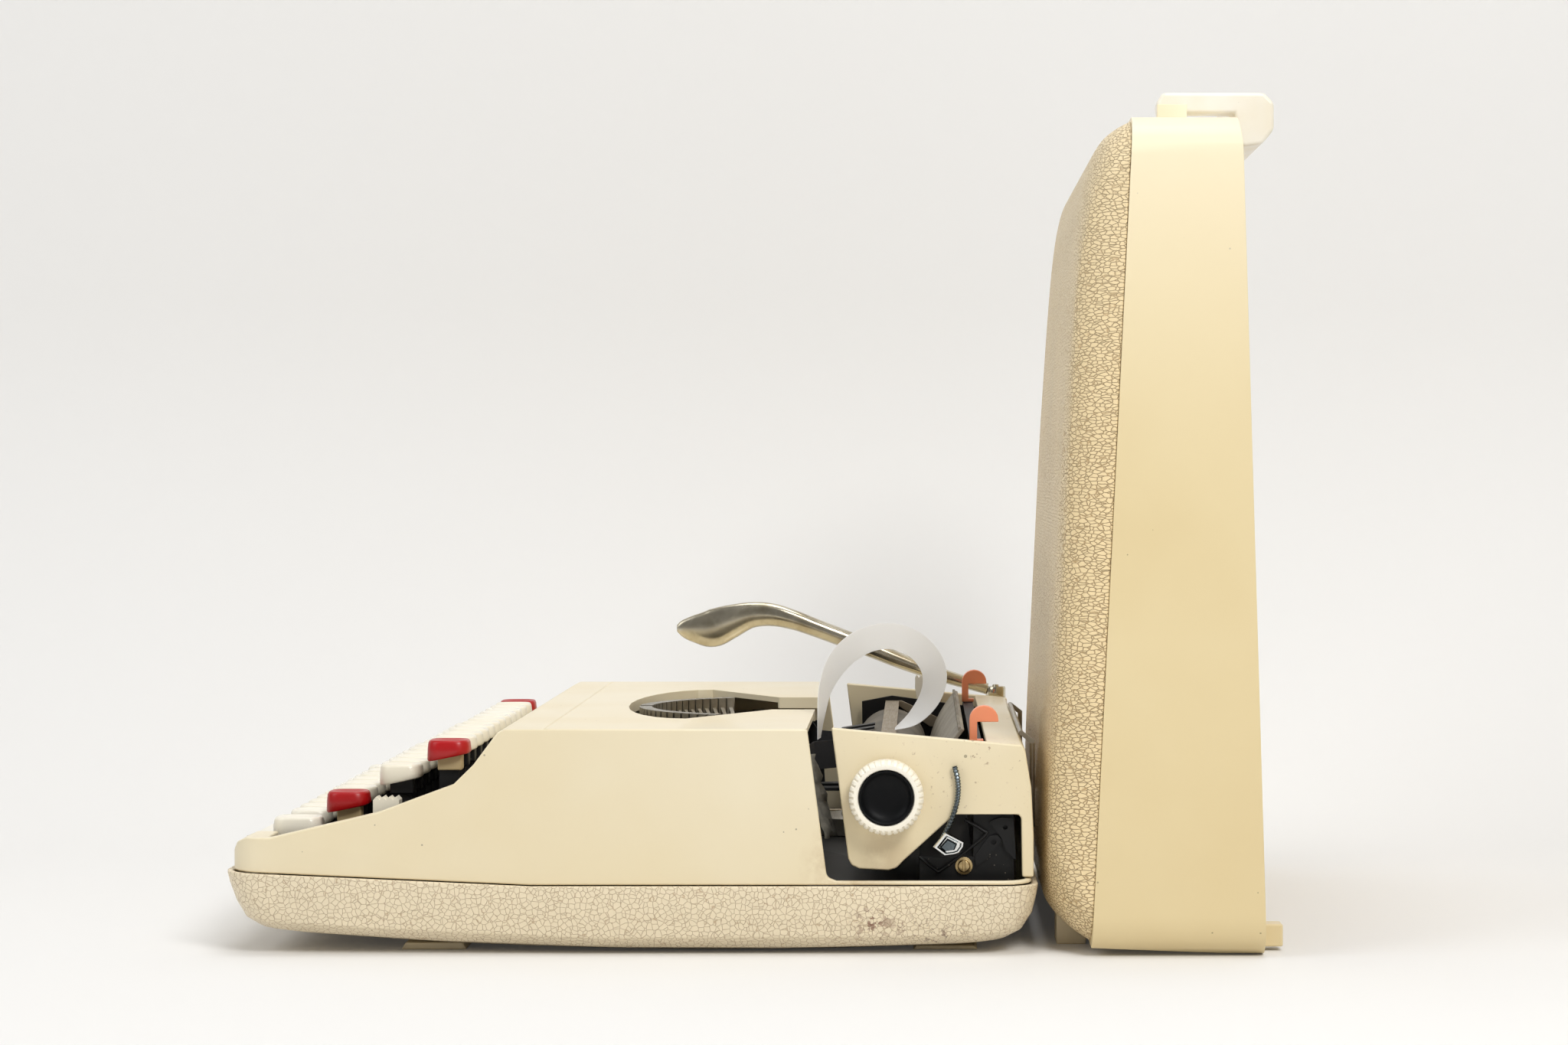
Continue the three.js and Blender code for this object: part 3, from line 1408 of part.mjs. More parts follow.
function carriageRelease() {
  const strip = outlineOf(RELEASE_STRIP_SHARES, RELEASE_AT, RELEASE_LOW, RELEASE_WIDE, RELEASE_HIGH);
  const back = strip.map(([y, z]) => [y + SHEET, z + SHEET * 0.2]).reverse();
  const blade = prismX([...strip, ...back], RELEASE_X, RELEASE_X + RELEASE_THICK);
  const box = outlineOf(
    RELEASE_TAB_SHARES,
    RELEASE_TAB_AT,
    RELEASE_TAB_LOW,
    RELEASE_TAB_WIDE,
    RELEASE_TAB_HIGH,
  );
  return blade.add(prismX(box, RELEASE_X, RELEASE_X + RELEASE_THICK + SEAT));
}

// Paper release: a small toothed tab at the carriage's left end
const TAB_PIVOT_AT = PLATEN_AT + 15;
const TAB_PIVOT_UP = CARRIAGE_TOP - 5 * WALL;

function paperRelease() {
  const half = PIN / 2;
  const x = -SIDE_OUT - SEAT - half;
  const top = CARRIAGE_TOP + 4.4;
  const teeth = 5;
  const wide = 9;
  const front = TAB_PIVOT_AT - wide / 2;
  const step = wide / teeth;
  const points = [[TAB_PIVOT_AT + wide / 2, top - 6]];
  for (let k = teeth; k > 0; k -= 1) {
    points.push([front + step * k, top - 1.4], [front + step * (k - 0.5), top]);
  }
  points.push(
    [front, top - 1.4],
    [front, top - 6],
    [TAB_PIVOT_AT - PIN, TAB_PIVOT_UP - PIN],
    [TAB_PIVOT_AT + PIN, TAB_PIVOT_UP - PIN],
  );
  return prismX(points, x - half, x + half);
}

// The wire that props up the paper: a crossbar on two legs that pull up behind the rear cover
const WIRE_R = 1;
const SUPPORT_HALF = 84;
const SUPPORT_AT = REAR_OUT - 3.15;
const SUPPORT_UP = CARRIAGE_REAR_TOP + 0.45;
const SUPPORT_LEG_AT = REAR_OUT + SEAT + WIRE_R;
const SUPPORT_LEG_LOW = CUTOUT_TOP - 4 * WALL;

function paperSupport() {
  const bend = SUPPORT_UP - 3 * WIRE_R;
  const leg = bar('z', SUPPORT_HALF, SUPPORT_LEG_AT, SUPPORT_LEG_LOW, bend, WIRE_R, 10);
  const elbow = prismX(
    [
      [SUPPORT_AT - WIRE_R * 0.6, SUPPORT_UP - WIRE_R * 0.5],
      [SUPPORT_AT - WIRE_R * 0.4, SUPPORT_UP + WIRE_R * 0.8],
      [SUPPORT_AT + WIRE_R * 0.6, SUPPORT_UP + WIRE_R * 0.8],
      [SUPPORT_LEG_AT + WIRE_R, bend],
      [SUPPORT_LEG_AT + WIRE_R * 0.8, bend - WIRE_R],
      [SUPPORT_LEG_AT - WIRE_R * 0.8, bend - WIRE_R],
    ],
    SUPPORT_HALF - WIRE_R,
    SUPPORT_HALF + WIRE_R,
  );
  const end = leg.add(elbow);
  const cross = bar('x', SUPPORT_AT, SUPPORT_UP, -SUPPORT_HALF, SUPPORT_HALF, WIRE_R, 10);
  return union([cross, end, mirrored(end)]);
}

// A narrow strip of paper in a loop over the platen; it twists as it goes
// Depth, height, sideways place, and how far its width has turned from sideways to radial
const STRIP_WIDE = 10;
const STRIP_THICK = 0.5;
const STRIP_LOOP_R = 24;
const STRIP_X = PLATEN_HALF * 0.52;
const STRIP_RINGS = [
  [PLATEN_AT - STRIP_LOOP_R * 1.08, CARRIAGE_TOP - 5.5, 4, 0.05],
  [PLATEN_AT - STRIP_LOOP_R * 1.05, CARRIAGE_TOP + 3, 3, 0.15],
  [PLATEN_AT - STRIP_LOOP_R * 0.97, CARRIAGE_TOP + 15, 1, 0.35],
  [PLATEN_AT - STRIP_LOOP_R * 0.72, CARRIAGE_TOP + 25, 0, 0.7],
  [PLATEN_AT - STRIP_LOOP_R * 0.3, CARRIAGE_TOP + 31, 0, 0.95],
  [PLATEN_AT + STRIP_LOOP_R * 0.2, CARRIAGE_TOP + 32, 0, 1],
  [PLATEN_AT + STRIP_LOOP_R * 0.62, CARRIAGE_TOP + 28, 0, 0.95],
  [PLATEN_AT + STRIP_LOOP_R * 0.85, CARRIAGE_TOP + 20, 0, 0.75],
  [PLATEN_AT + STRIP_LOOP_R * 0.8, CARRIAGE_TOP + 10, -2, 0.5],
  [PLATEN_AT + STRIP_LOOP_R * 0.52, CARRIAGE_TOP + 1, -5, 0.3],
  [PLATEN_AT + STRIP_LOOP_R * 0.154, CARRIAGE_TOP - 7.8, -9, 0],
];

function paperStrip() {
  const rings = STRIP_RINGS.map(([y, z, x, turned], index) => {
    const before = STRIP_RINGS[Math.max(index - 1, 0)];
    const after = STRIP_RINGS[Math.min(index + 1, STRIP_RINGS.length - 1)];
    const way = new THREE.Vector3(
      after[2] - before[2],
      after[0] - before[0],
      after[1] - before[1],
    ).normalize();
    const angle = (turned * Math.PI) / 2;
    const radial = new THREE.Vector3(0, -way.z, way.y).normalize();
    const wide = new THREE.Vector3(Math.cos(angle), 0, 0).addScaledVector(
      radial,
      Math.sin(angle),
    ).normalize();
    const thick = new THREE.Vector3().crossVectors(way, wide).normalize();
    const at = new THREE.Vector3(STRIP_X + x, y, z);
    return [[-1, -1], [1, -1], [1, 1], [-1, 1]].map(([a, b]) => {
      const corner = at.clone().addScaledVector(wide, (a * STRIP_WIDE) / 2);
      return corner.addScaledVector(thick, (b * STRIP_THICK) / 2).toArray();
    });
  });
  return loft(rings);
}

// Lid

function rimPlane(z) {
  return LID_LEFT_LOW + ((LID_LEFT_TOP - LID_LEFT_LOW) * z) / LID_TOP;
}

// The lug that each end of the handle turns on, and the small chamfer at the open edge's top
const LUG_DEEP = 12;
const LUG_HIGH = 13;
const RIM_CHAMFER = 1.2;

function lidRim() {
  const side = [
    [LID_LEFT_LOW, LID_RISE],
    [LID_OPEN_LOW, 0],
    [LID_OPEN_TOP + RIM_CHAMFER, LID_TOP * 0.964],
    [LID_OPEN_TOP, LID_TOP],
    [LID_LEFT_TOP, LID_TOP],
  ];
  const outer = prismX(side, -LID_HALF, LID_HALF);
  const frame = roundedRing(LID_HALF, 0, LID_TOP, LID_CORNER, 5);
  const hole = roundedRing(
    LID_HALF - LID_WALL,
    LID_RISE + LID_WALL,
    LID_TOP - LID_WALL,
    LID_CORNER - LID_WALL,
    5,
  );
  const band = outer
    .intersect(prismY(frame, LID_LEFT_LOW - CUT, LID_OPEN_LOW + CUT))
    .subtract(prismY(hole, LID_LEFT_LOW - CUT, LID_OPEN_LOW + CUT));
  const lug = block(
    HANDLE_HALF + SEAT,
    HANDLE_HALF + SEAT + WALL * 1.6,
    HANDLE_BACK,
    HANDLE_BACK + LUG_DEEP,
    LID_TOP - WALL / 2,
    LID_TOP + LUG_HIGH,
  );
  return union([band, lug, mirrored(lug)]);
}

// Shares of the shell's depth, and its insets at the bottom, the top and the sides in walls
const SHELL_LEVEL_SHARES = [
  [0, 0.5, 0.5, 0.3],
  [0.35, 1.9, 2.2, 1],
  [0.62, 3.2, 4.2, 2],
  [0.86, 4.7, 11, 3.4],
  [0.95, 6.2, 16.5, 4.8],
  [1, 10.5, 25, 8.6],
];

function shellBody(wall) {
  const rings = SHELL_LEVEL_SHARES.map(([share, low, top, side]) => {
    const half = LID_HALF - LID_WALL * side - wall;
    const from = LID_RISE + LID_WALL * low + wall;
    const to = LID_TOP - LID_WALL * top - wall;
    const ring = roundedRing(half, from, to, LID_CORNER + LID_WALL * side, 5, 1);
    return ring.map(([x, z]) => [x, rimPlane(z) - SEAT - SHELL_DEEP * share + wall, z]);
  });
  return loft(rings);
}

function lidShell() {
  return shellBody(0).subtract(shellBody(LID_WALL));
}

const LID_FOOT_IN = 50;
const LID_FOOT_AT = LID_HALF - LID_FOOT_IN;
const LID_FOOT_WIDE = 18;

// A place on the underside of the shell, at one of its levels
function shellUnder(level) {
  const [share, low] = SHELL_LEVEL_SHARES[level];
  const z = LID_RISE + LID_WALL * low;
  return [rimPlane(z) - SEAT - SHELL_DEEP * share, z];
}

function lidFoot() {
  const top = [0, 1, 2].map(shellUnder).map(([y, z]) => [y - SEAT * 0.7, z - SEAT * 0.9]);
  const side = [[top[2][0], 0], [top[0][0], 0], ...top];
  return prismX(side, LID_FOOT_AT - LID_FOOT_WIDE / 2, LID_FOOT_AT + LID_FOOT_WIDE / 2);
}

const TAB_AT = 128;
const TAB_WIDE = 10;
const TAB_DEEP = 8;
const TAB_HIGH = 8.6;

// The tabs that hook into the base's rear rim when the case is closed
function lidTab() {
  const face = LID_OPEN_LOW + SEAT;
  return block(
    TAB_AT - TAB_WIDE / 2,
    TAB_AT + TAB_WIDE / 2,
    face,
    face + TAB_DEEP,
    LID_RISE / 2,
    LID_RISE / 2 + TAB_HIGH,
  );
}

const HANDLE_BACK = HANDLE_OUT - HANDLE_DEEP;
const HANDLE_LOW = LID_TOP - HANDLE_DROP;

// Outlines of the handle's arms and of its grip, as shares of its depth and height
const HANDLE_GRIP_SHARES = [
  [0.664, 1],
  [0.916, 1],
  [1, 0.818],
  [1, 0.318],
  [0.895, 0.0455],
  [0.727, 0],
  [0.685, 0.182],
  [0.664, 0.62],
];
const HANDLE_ARM_SHARES = [
  [0.021, 0.43],
  [0, 0.81],
  [0.0525, 1],
  ...HANDLE_GRIP_SHARES.slice(1),
  [0.252, 0.62],
  [0.231, 0.43],
];

function lidHandle() {
  const outline = (shares) => outlineOf(shares, HANDLE_BACK, HANDLE_LOW, HANDLE_DEEP, HANDLE_HIGH);
  const side = prismX(outline(HANDLE_ARM_SHARES), HANDLE_HALF * 0.78, HANDLE_HALF);
  const grip = prismX(outline(HANDLE_GRIP_SHARES), -HANDLE_HALF * 0.8, HANDLE_HALF * 0.8);
  return union([side, mirrored(side), grip]);
}

// The whole object

place('base_tray', baseTray(), GRAINED);
placePair('foot_front', footAt(FOOT_FRONT - FOOT_LONG / 2), WHITE);
placePair('foot_rear', footAt(FOOT_REAR), WHITE);
place('body_housing', bodyHousing(), CREAM);
place('chassis', chassis(), BLACK);
place('rear_frame', rearFrame(), BLACK);
place('frame_screw', frameScrew(), BRASS);
place('mainspring_drum', mainspringDrum(), STEEL);
place('fulcrum_bar', fulcrumBar(), STEEL);
place('type_segment', typeSegment(), STEEL);
place('typebar_fan', typebarFan(), STEEL);
place('ribbon_guide', ribbonGuide(), BLACK);
place('ink_ribbon', inkRibbon(), RIBBON);
place('ribbon_cover', ribbonCover(), CREAM);
placePair('ribbon_spool', spool(), STEEL);

for (let row = 0; row < ROW_KEYS.length; row += 1) place(`key_row_${row + 1}`, keyRow(row), WHITE);
place('space_bar', spaceBar(), WHITE);
placePair('shift_key', shiftKey(), WHITE);
place('shift_shaft', shiftShaft(), STEEL);
place('shift_lock_key', singleKey(keyPlace(1, -1), 1), WHITE);
place('tabulator_key', singleKey(keyPlace(1, ROW_KEYS[1]), 1), RED);
place('margin_release_key', singleKey(keyPlace(3, -1), 3), RED);
place('backspace_key', singleKey(keyPlace(3, ROW_KEYS[3]), 3), RED);
place('typebar', strikeBar(), STEEL);
place('ribbon_selector', ribbonSelector(), WHITE);

place('carriage_frame', carriageFrame(), BLACK);
placePair('end_cover', endCover(), CREAM);
place('rear_cover', rearCover(), CREAM);
place('paper_table', paperTable(), RUBBER);
place('margin_rail', marginRail(), BLACK);
place('lever_bracket', leverBracket(), CREAM);
place('paper_strip', paperStrip(), PAPER);
place('platen', platen(), RUBBER);
place('platen_ratchet', ratchet(), STEEL);
placePair('platen_knob', knob(), WHITE);
placePair('knob_cap', knobCap(), BLACK);
place('return_lever', returnLever(), ALLOY);
place('paper_bail', paperBail(), STEEL);
placePair('margin_stop', marginStop(), SALMON);
place('carriage_release', carriageRelease(), CHROME);
place('paper_release', paperRelease(), WHITE);
place('paper_support', paperSupport(), STEEL);

place('lid_rim', lidRim(), LID_CREAM);
place('lid_shell', lidShell(), GRAINED);
placePair('lid_foot', lidFoot(), WHITE);
placePair('lid_tab', lidTab(), LID_CREAM);
place('lid_handle', lidHandle(), WHITE);

export default typewriter;
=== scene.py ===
# %% [markdown]
# This lesson dresses a portable typewriter and its case lid. The solids come packed from the
# CAD model, each as one named node that already moves with its body. Most of the work here is
# to round their edges as a mould does, to rebuild the forms that need a finer surface, and to
# give each one the finish of its own substance: yellowed plastic, grained plastic, rubber,
# enamel, steel, polished alloy, paper.

import json
import math
import random

import bmesh
import bpy
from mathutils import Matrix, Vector

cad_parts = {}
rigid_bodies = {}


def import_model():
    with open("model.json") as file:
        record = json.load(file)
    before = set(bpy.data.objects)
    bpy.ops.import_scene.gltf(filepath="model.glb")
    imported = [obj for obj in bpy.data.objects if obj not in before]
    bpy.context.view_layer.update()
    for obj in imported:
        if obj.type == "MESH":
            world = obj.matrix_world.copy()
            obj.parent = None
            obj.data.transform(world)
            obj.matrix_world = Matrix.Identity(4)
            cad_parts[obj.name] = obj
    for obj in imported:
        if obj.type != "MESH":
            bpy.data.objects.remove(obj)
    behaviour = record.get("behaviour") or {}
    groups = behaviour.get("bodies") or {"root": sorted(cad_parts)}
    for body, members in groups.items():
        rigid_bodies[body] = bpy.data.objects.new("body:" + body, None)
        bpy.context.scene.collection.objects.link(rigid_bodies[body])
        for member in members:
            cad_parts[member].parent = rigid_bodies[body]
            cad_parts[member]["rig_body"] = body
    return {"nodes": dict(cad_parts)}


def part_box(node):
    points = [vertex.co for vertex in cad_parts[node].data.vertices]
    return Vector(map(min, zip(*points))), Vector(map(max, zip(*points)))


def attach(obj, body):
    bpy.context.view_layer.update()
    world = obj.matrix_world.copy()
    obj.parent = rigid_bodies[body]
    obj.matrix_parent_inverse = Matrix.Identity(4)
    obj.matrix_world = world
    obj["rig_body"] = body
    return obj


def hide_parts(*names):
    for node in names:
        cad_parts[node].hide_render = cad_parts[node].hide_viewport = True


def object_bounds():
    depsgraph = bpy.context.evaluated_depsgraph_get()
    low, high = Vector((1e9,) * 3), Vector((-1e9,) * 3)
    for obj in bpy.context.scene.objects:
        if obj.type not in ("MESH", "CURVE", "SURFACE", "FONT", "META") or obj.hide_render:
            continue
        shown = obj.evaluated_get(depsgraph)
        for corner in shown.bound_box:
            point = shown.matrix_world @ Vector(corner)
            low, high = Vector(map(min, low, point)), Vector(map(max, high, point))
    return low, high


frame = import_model()
cad_box = [list(corner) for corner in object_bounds()]
MM = 0.001
DEPTH = cad_box[1][1] - cad_box[0][1]
print("frame box", [[round(v, 3) for v in corner] for corner in cad_box])

# %% [markdown]
# Depths are easier to read when they are counted from the front edge of the tray, as the CAD
# does, so a place is written as sideways, depth and height in millimetres. One helper turns
# such a place into metres in the row's frame.


# %% Places
def at(x, depth, up):
    return Vector((x * MM, depth * MM - DEPTH / 2, up * MM))


def linear(r, g, b):
    """A colour as seen on a screen, 0 to 255, as the linear values that shaders take."""

    def channel(v):
        v = v / 255
        return v / 12.92 if v <= 0.04045 else ((v + 0.055) / 1.055) ** 2.4

    return (channel(r), channel(g), channel(b), 1.0)


# %% [markdown]
# The photograph is a strict side view from about one and a third metres, with a lens a little
# longer than normal. The lines that run away from the viewer meet at one pixel. The camera looks
# straight along them, and its lens is shifted so that they meet there, which keeps uprights upright.

# %% Camera
CAMERA_OUT = 1450
CAMERA_DEPTH = 264.6
CAMERA_UP = 184
FOCAL_PIXELS = 4490
FRAME_WIDE, FRAME_HIGH = 2048, 1365
VANISHING_PIXEL = (1201, 615)

camera_data = bpy.data.cameras.new("camera")
camera = bpy.data.objects.new("camera", camera_data)
bpy.context.scene.collection.objects.link(camera)
bpy.context.scene.camera = camera
camera_data.lens = camera_data.sensor_width * FOCAL_PIXELS / FRAME_WIDE
camera_data.clip_end = 30
camera.location = at(CAMERA_OUT, CAMERA_DEPTH, CAMERA_UP)
camera.rotation_euler = (math.pi / 2, 0, math.pi / 2)
camera_data.shift_x = (FRAME_WIDE / 2 - VANISHING_PIXEL[0]) / FRAME_WIDE
camera_data.shift_y = (VANISHING_PIXEL[1] - FRAME_HIGH / 2) / FRAME_WIDE
print("lens", round(camera_data.lens, 1), "mm")

# %% [markdown]
# Shared effects come first, as node groups. Each group gives masks or heights only; the shader
# itself stays in the material, so that plain values can be set on its own sockets.


# %% Helpers for node groups
def new_group(name, inputs, outputs):
    group = bpy.data.node_groups.new(name, "ShaderNodeTree")
    for label, default in inputs:
        kind = "NodeSocketVector" if default is None else "NodeSocketFloat"
        socket = group.interface.new_socket(name=label, in_out="INPUT", socket_type=kind)
        if default is not None:
            socket.default_value = default
    for label in outputs:
        group.interface.new_socket(name=label, in_out="OUTPUT", socket_type="NodeSocketFloat")
    return group, group.nodes.new("NodeGroupInput"), group.nodes.new("NodeGroupOutput")


def put(tree, kind, **settings):
    """One new node; settings name its properties or its input sockets, with _ for a space."""
    node = tree.nodes.new(kind)
    for key, value in settings.items():
        if hasattr(node, key):
            setattr(node, key, value)
        else:
            node.inputs[key.replace("_", " ")].default_value = value
    return node


def calc(tree, operation, a, b=None, clamp=False):
    node = tree.nodes.new("ShaderNodeMath")
    node.operation = operation
    node.use_clamp = clamp
    for socket, value in zip(node.inputs, (a, b)):
        if value is None:
            continue
        if isinstance(value, (int, float)):
            socket.default_value = value
        else:
            tree.links.new(value, socket)
    return node.outputs[0]


def span(tree, value, from_low, from_high, to_low=0.0, to_high=1.0):
    node = tree.nodes.new("ShaderNodeMapRange")
    tree.links.new(value, node.inputs["Value"])
    node.inputs["From Min"].default_value = from_low
    node.inputs["From Max"].default_value = from_high
    node.inputs["To Min"].default_value = to_low
    node.inputs["To Max"].default_value = to_high
    return node.outputs[0]


# %% [markdown]
# Leather grain on moulded plastic is a net of small valleys between rounded pebbles. A cell
# pattern gives both: the distance to a cell's edge is nil in a valley and grows over the pebble.
# The cells are bent a little by noise, because real grain has no straight valleys.


# %% Leather grain
def leather_grain():
    group, given, result = new_group(
        "leather_grain",
        [("Place", None), ("Scale", 450.0), ("Valley", 0.14), ("Bend", 0.5)],
        ["Height", "Crack"],
    )
    bend = put(group, "ShaderNodeTexNoise", Detail=2.0)
    group.links.new(given.outputs["Place"], bend.inputs["Vector"])
    group.links.new(calc(group, "MULTIPLY", given.outputs["Scale"], 0.8), bend.inputs["Scale"])
    push = put(group, "ShaderNodeVectorMath", operation="SCALE")
    group.links.new(bend.outputs["Color"], push.inputs[0])
    reach = calc(group, "DIVIDE", given.outputs["Bend"], given.outputs["Scale"])
    group.links.new(reach, push.inputs["Scale"])
    moved = put(group, "ShaderNodeVectorMath", operation="ADD")
    group.links.new(given.outputs["Place"], moved.inputs[0])
    group.links.new(push.outputs[0], moved.inputs[1])
    cells = put(group, "ShaderNodeTexVoronoi", feature="DISTANCE_TO_EDGE", Randomness=0.9)
    group.links.new(moved.outputs[0], cells.inputs["Vector"])
    group.links.new(given.outputs["Scale"], cells.inputs["Scale"])
    share = calc(group, "DIVIDE", cells.outputs["Distance"], given.outputs["Valley"], clamp=True)
    pebble = calc(group, "SINE", calc(group, "MULTIPLY", share, math.pi / 2))
    fine = put(group, "ShaderNodeTexNoise", Detail=4.0)
    group.links.new(given.outputs["Place"], fine.inputs["Vector"])
    group.links.new(calc(group, "MULTIPLY", given.outputs["Scale"], 5.0), fine.inputs["Scale"])
    rough = calc(group, "MULTIPLY", fine.outputs["Fac"], 0.12)
    group.links.new(calc(group, "ADD", pebble, rough), result.inputs["Height"])
    group.links.new(calc(group, "SUBTRACT", 1.0, share, clamp=True), result.inputs["Crack"])
    return group


# %% [markdown]
# Old plastic is never one colour. It yellows in wide soft clouds, and it carries tiny dark
# specks and small smears. One group gives the clouds and the specks for all the plastics.


# %% Age of plastics
def plastic_age():
    group, given, result = new_group(
        "plastic_age",
        [("Place", None), ("Cloud scale", 9.0), ("Speck scale", 160.0), ("Speck share", 0.06)],
        ["Cloud", "Speck", "Orange peel"],
    )
    cloud = put(group, "ShaderNodeTexNoise", Detail=3.0, Roughness=0.55)
    group.links.new(given.outputs["Place"], cloud.inputs["Vector"])
    group.links.new(given.outputs["Cloud scale"], cloud.inputs["Scale"])
    group.links.new(span(group, cloud.outputs["Fac"], 0.3, 0.72), result.inputs["Cloud"])
    specks = put(group, "ShaderNodeTexVoronoi", feature="F1", Randomness=1.0)
    group.links.new(given.outputs["Place"], specks.inputs["Vector"])
    group.links.new(given.outputs["Speck scale"], specks.inputs["Scale"])
    near = calc(group, "LESS_THAN", specks.outputs["Distance"], given.outputs["Speck share"])
    chance = put(group, "ShaderNodeTexNoise", Detail=1.0)
    group.links.new(given.outputs["Place"], chance.inputs["Vector"])
    chance.inputs["Scale"].default_value = 35.0
    here = calc(group, "GREATER_THAN", chance.outputs["Fac"], 0.56)
    group.links.new(calc(group, "MULTIPLY", near, here), result.inputs["Speck"])
    peel = put(group, "ShaderNodeTexNoise", Detail=2.0)
    group.links.new(given.outputs["Place"], peel.inputs["Vector"])
    peel.inputs["Scale"].default_value = 900.0
    group.links.new(peel.outputs["Fac"], result.inputs["Orange peel"])
    return group


# %% [markdown]
# Metal that was ground or drawn has fine lines along one way. Noise that is stretched along that
# way gives them, for the roughness and for a very shallow bump.


# %% Drawn metal lines
def drawn_lines():
    group, given, result = new_group(
        "drawn_lines",
        [("Place", None), ("Along x", 0.05), ("Along y", 1.0), ("Along z", 1.0), ("Scale", 1400.0)],
        ["Line", "Stain"],
    )
    stretch = put(group, "ShaderNodeCombineXYZ")
    for label, axis in (("Along x", "X"), ("Along y", "Y"), ("Along z", "Z")):
        group.links.new(given.outputs[label], stretch.inputs[axis])
    scaled = put(group, "ShaderNodeVectorMath", operation="MULTIPLY")
    group.links.new(given.outputs["Place"], scaled.inputs[0])
    group.links.new(stretch.outputs[0], scaled.inputs[1])
    lines = put(group, "ShaderNodeTexNoise", Detail=4.0)
    group.links.new(scaled.outputs[0], lines.inputs["Vector"])
    group.links.new(given.outputs["Scale"], lines.inputs["Scale"])
    group.links.new(lines.outputs["Fac"], result.inputs["Line"])
    stain = put(group, "ShaderNodeTexNoise", Detail=5.0, Roughness=0.7)
    group.links.new(given.outputs["Place"], stain.inputs["Vector"])
    stain.inputs["Scale"].default_value = 70.0
    group.links.new(span(group, stain.outputs["Fac"], 0.45, 0.7), result.inputs["Stain"])
    return group


GRAIN = leather_grain()
AGE = plastic_age()
LINES = drawn_lines()
print("shared effects", [g.name for g in (GRAIN, AGE, LINES)])

# %% [markdown]
# A material starts the same way each time: a Principled shader, the place on the piece, and the
# groups that it needs. Colours that vary are mixed in the material and linked to Base Color.


# %% Helpers for materials
def start(name, rough, metal=0.0, coat=0.0):
    material = bpy.data.materials.new(name)
    material.use_nodes = True
    tree = material.node_tree
    shader = tree.nodes["Principled BSDF"]
    shader.inputs["Roughness"].default_value = rough
    shader.inputs["Metallic"].default_value = metal
    shader.inputs["Coat Weight"].default_value = coat
    place = tree.nodes.new("ShaderNodeTexCoord").outputs["Object"]
    return material, tree, shader, place


def effect(tree, group, place, **values):
    node = tree.nodes.new("ShaderNodeGroup")
    node.node_tree = group
    tree.links.new(place, node.inputs["Place"])
    for key, value in values.items():
        node.inputs[key.replace("_", " ")].default_value = value
    return node


def mixed(tree, share, first, second):
    node = tree.nodes.new("ShaderNodeMix")
    node.data_type = "RGBA"
    colour_sockets = [s for s in node.inputs if s.type == "RGBA"]
    if isinstance(share, (int, float)):
        node.inputs[0].default_value = share
    else:
        tree.links.new(share, node.inputs[0])
    for socket, colour in zip(colour_sockets, (first, second)):
        if isinstance(colour, tuple):
            socket.default_value = colour
        else:
            tree.links.new(colour, socket)
    return next(s for s in node.outputs if s.type == "RGBA")


def bump(tree, shader, height, millimetres):
    node = tree.nodes.new("ShaderNodeBump")
    node.inputs["Strength"].default_value = 1.0
    node.inputs["Distance"].default_value = millimetres * MM
    tree.links.new(height, node.inputs["Height"])
    tree.links.new(node.outputs["Normal"], shader.inputs["Normal"])


# %% [markdown]
# The housing is glossy moulded plastic that has yellowed unevenly, with a faint orange peel.


# %% Moulded plastics
def moulded(name, fresh, yellowed, rough=0.32, coat=0.15, speck=0.06, peel=0.012, cloud=9.0):
    material, tree, shader, place = start(name, rough, coat=coat)
    age = effect(tree, AGE, place, Cloud_scale=cloud, Speck_share=speck)
    colour = mixed(tree, age.outputs["Cloud"], fresh, yellowed)
    dark = tuple(v * 0.35 for v in yellowed[:3]) + (1.0,)
    strength = calc(tree, "MULTIPLY", age.outputs["Speck"], 0.7)
    tree.links.new(mixed(tree, strength, colour, dark), shader.inputs["Base Color"])
    duller = span(tree, age.outputs["Cloud"], 0, 1, rough, rough + 0.12)
    tree.links.new(duller, shader.inputs["Roughness"])
    bump(tree, shader, age.outputs["Orange peel"], peel)
    return material


CREAM = moulded("housing_plastic", linear(238, 227, 199), linear(232, 217, 181))
CARRIAGE_CREAM = moulded(
    "carriage_plastic", linear(235, 222, 190), linear(226, 208, 166), speck=0.1
)
RIM_CREAM = moulded("lid_rim_plastic", linear(230, 211, 165), linear(222, 200, 150), rough=0.4)
WHITE = moulded(
    "key_plastic", linear(246, 241, 228), linear(240, 232, 210), rough=0.22, coat=0.3, speck=0.03
)
KNOB_WHITE = moulded("knob_plastic", linear(250, 246, 234), linear(244, 234, 210), rough=0.3)
HANDLE_WHITE = moulded(
    "handle_plastic", linear(250, 248, 240), linear(240, 228, 200), rough=0.3, cloud=25.0
)
RED = moulded(
    "red_key_plastic", linear(190, 6, 14), linear(168, 4, 10), rough=0.26, coat=0.05, speck=0.02
)
SALMON = moulded("stop_plastic", linear(244, 150, 108), linear(226, 122, 84), rough=0.4, speck=0.05)
FOOT_GREY = moulded(
    "foot_plastic", linear(240, 228, 200), linear(228, 212, 176), rough=0.5, coat=0.0
)
CAP_BLACK = moulded("cap_plastic", linear(7, 8, 10), linear(4, 5, 6), rough=0.4, coat=0.0, speck=0.02)
CAP_BLACK.node_tree.nodes["Principled BSDF"].inputs["Specular IOR Level"].default_value = 0.15
print("plastics", [m.name for m in bpy.data.materials])

# %% [markdown]
# The skin of the tray and of the lid is grained. Its pebbles are a little glossier than the
# valleys, and dirt has settled in the valleys, more of it on the tray.


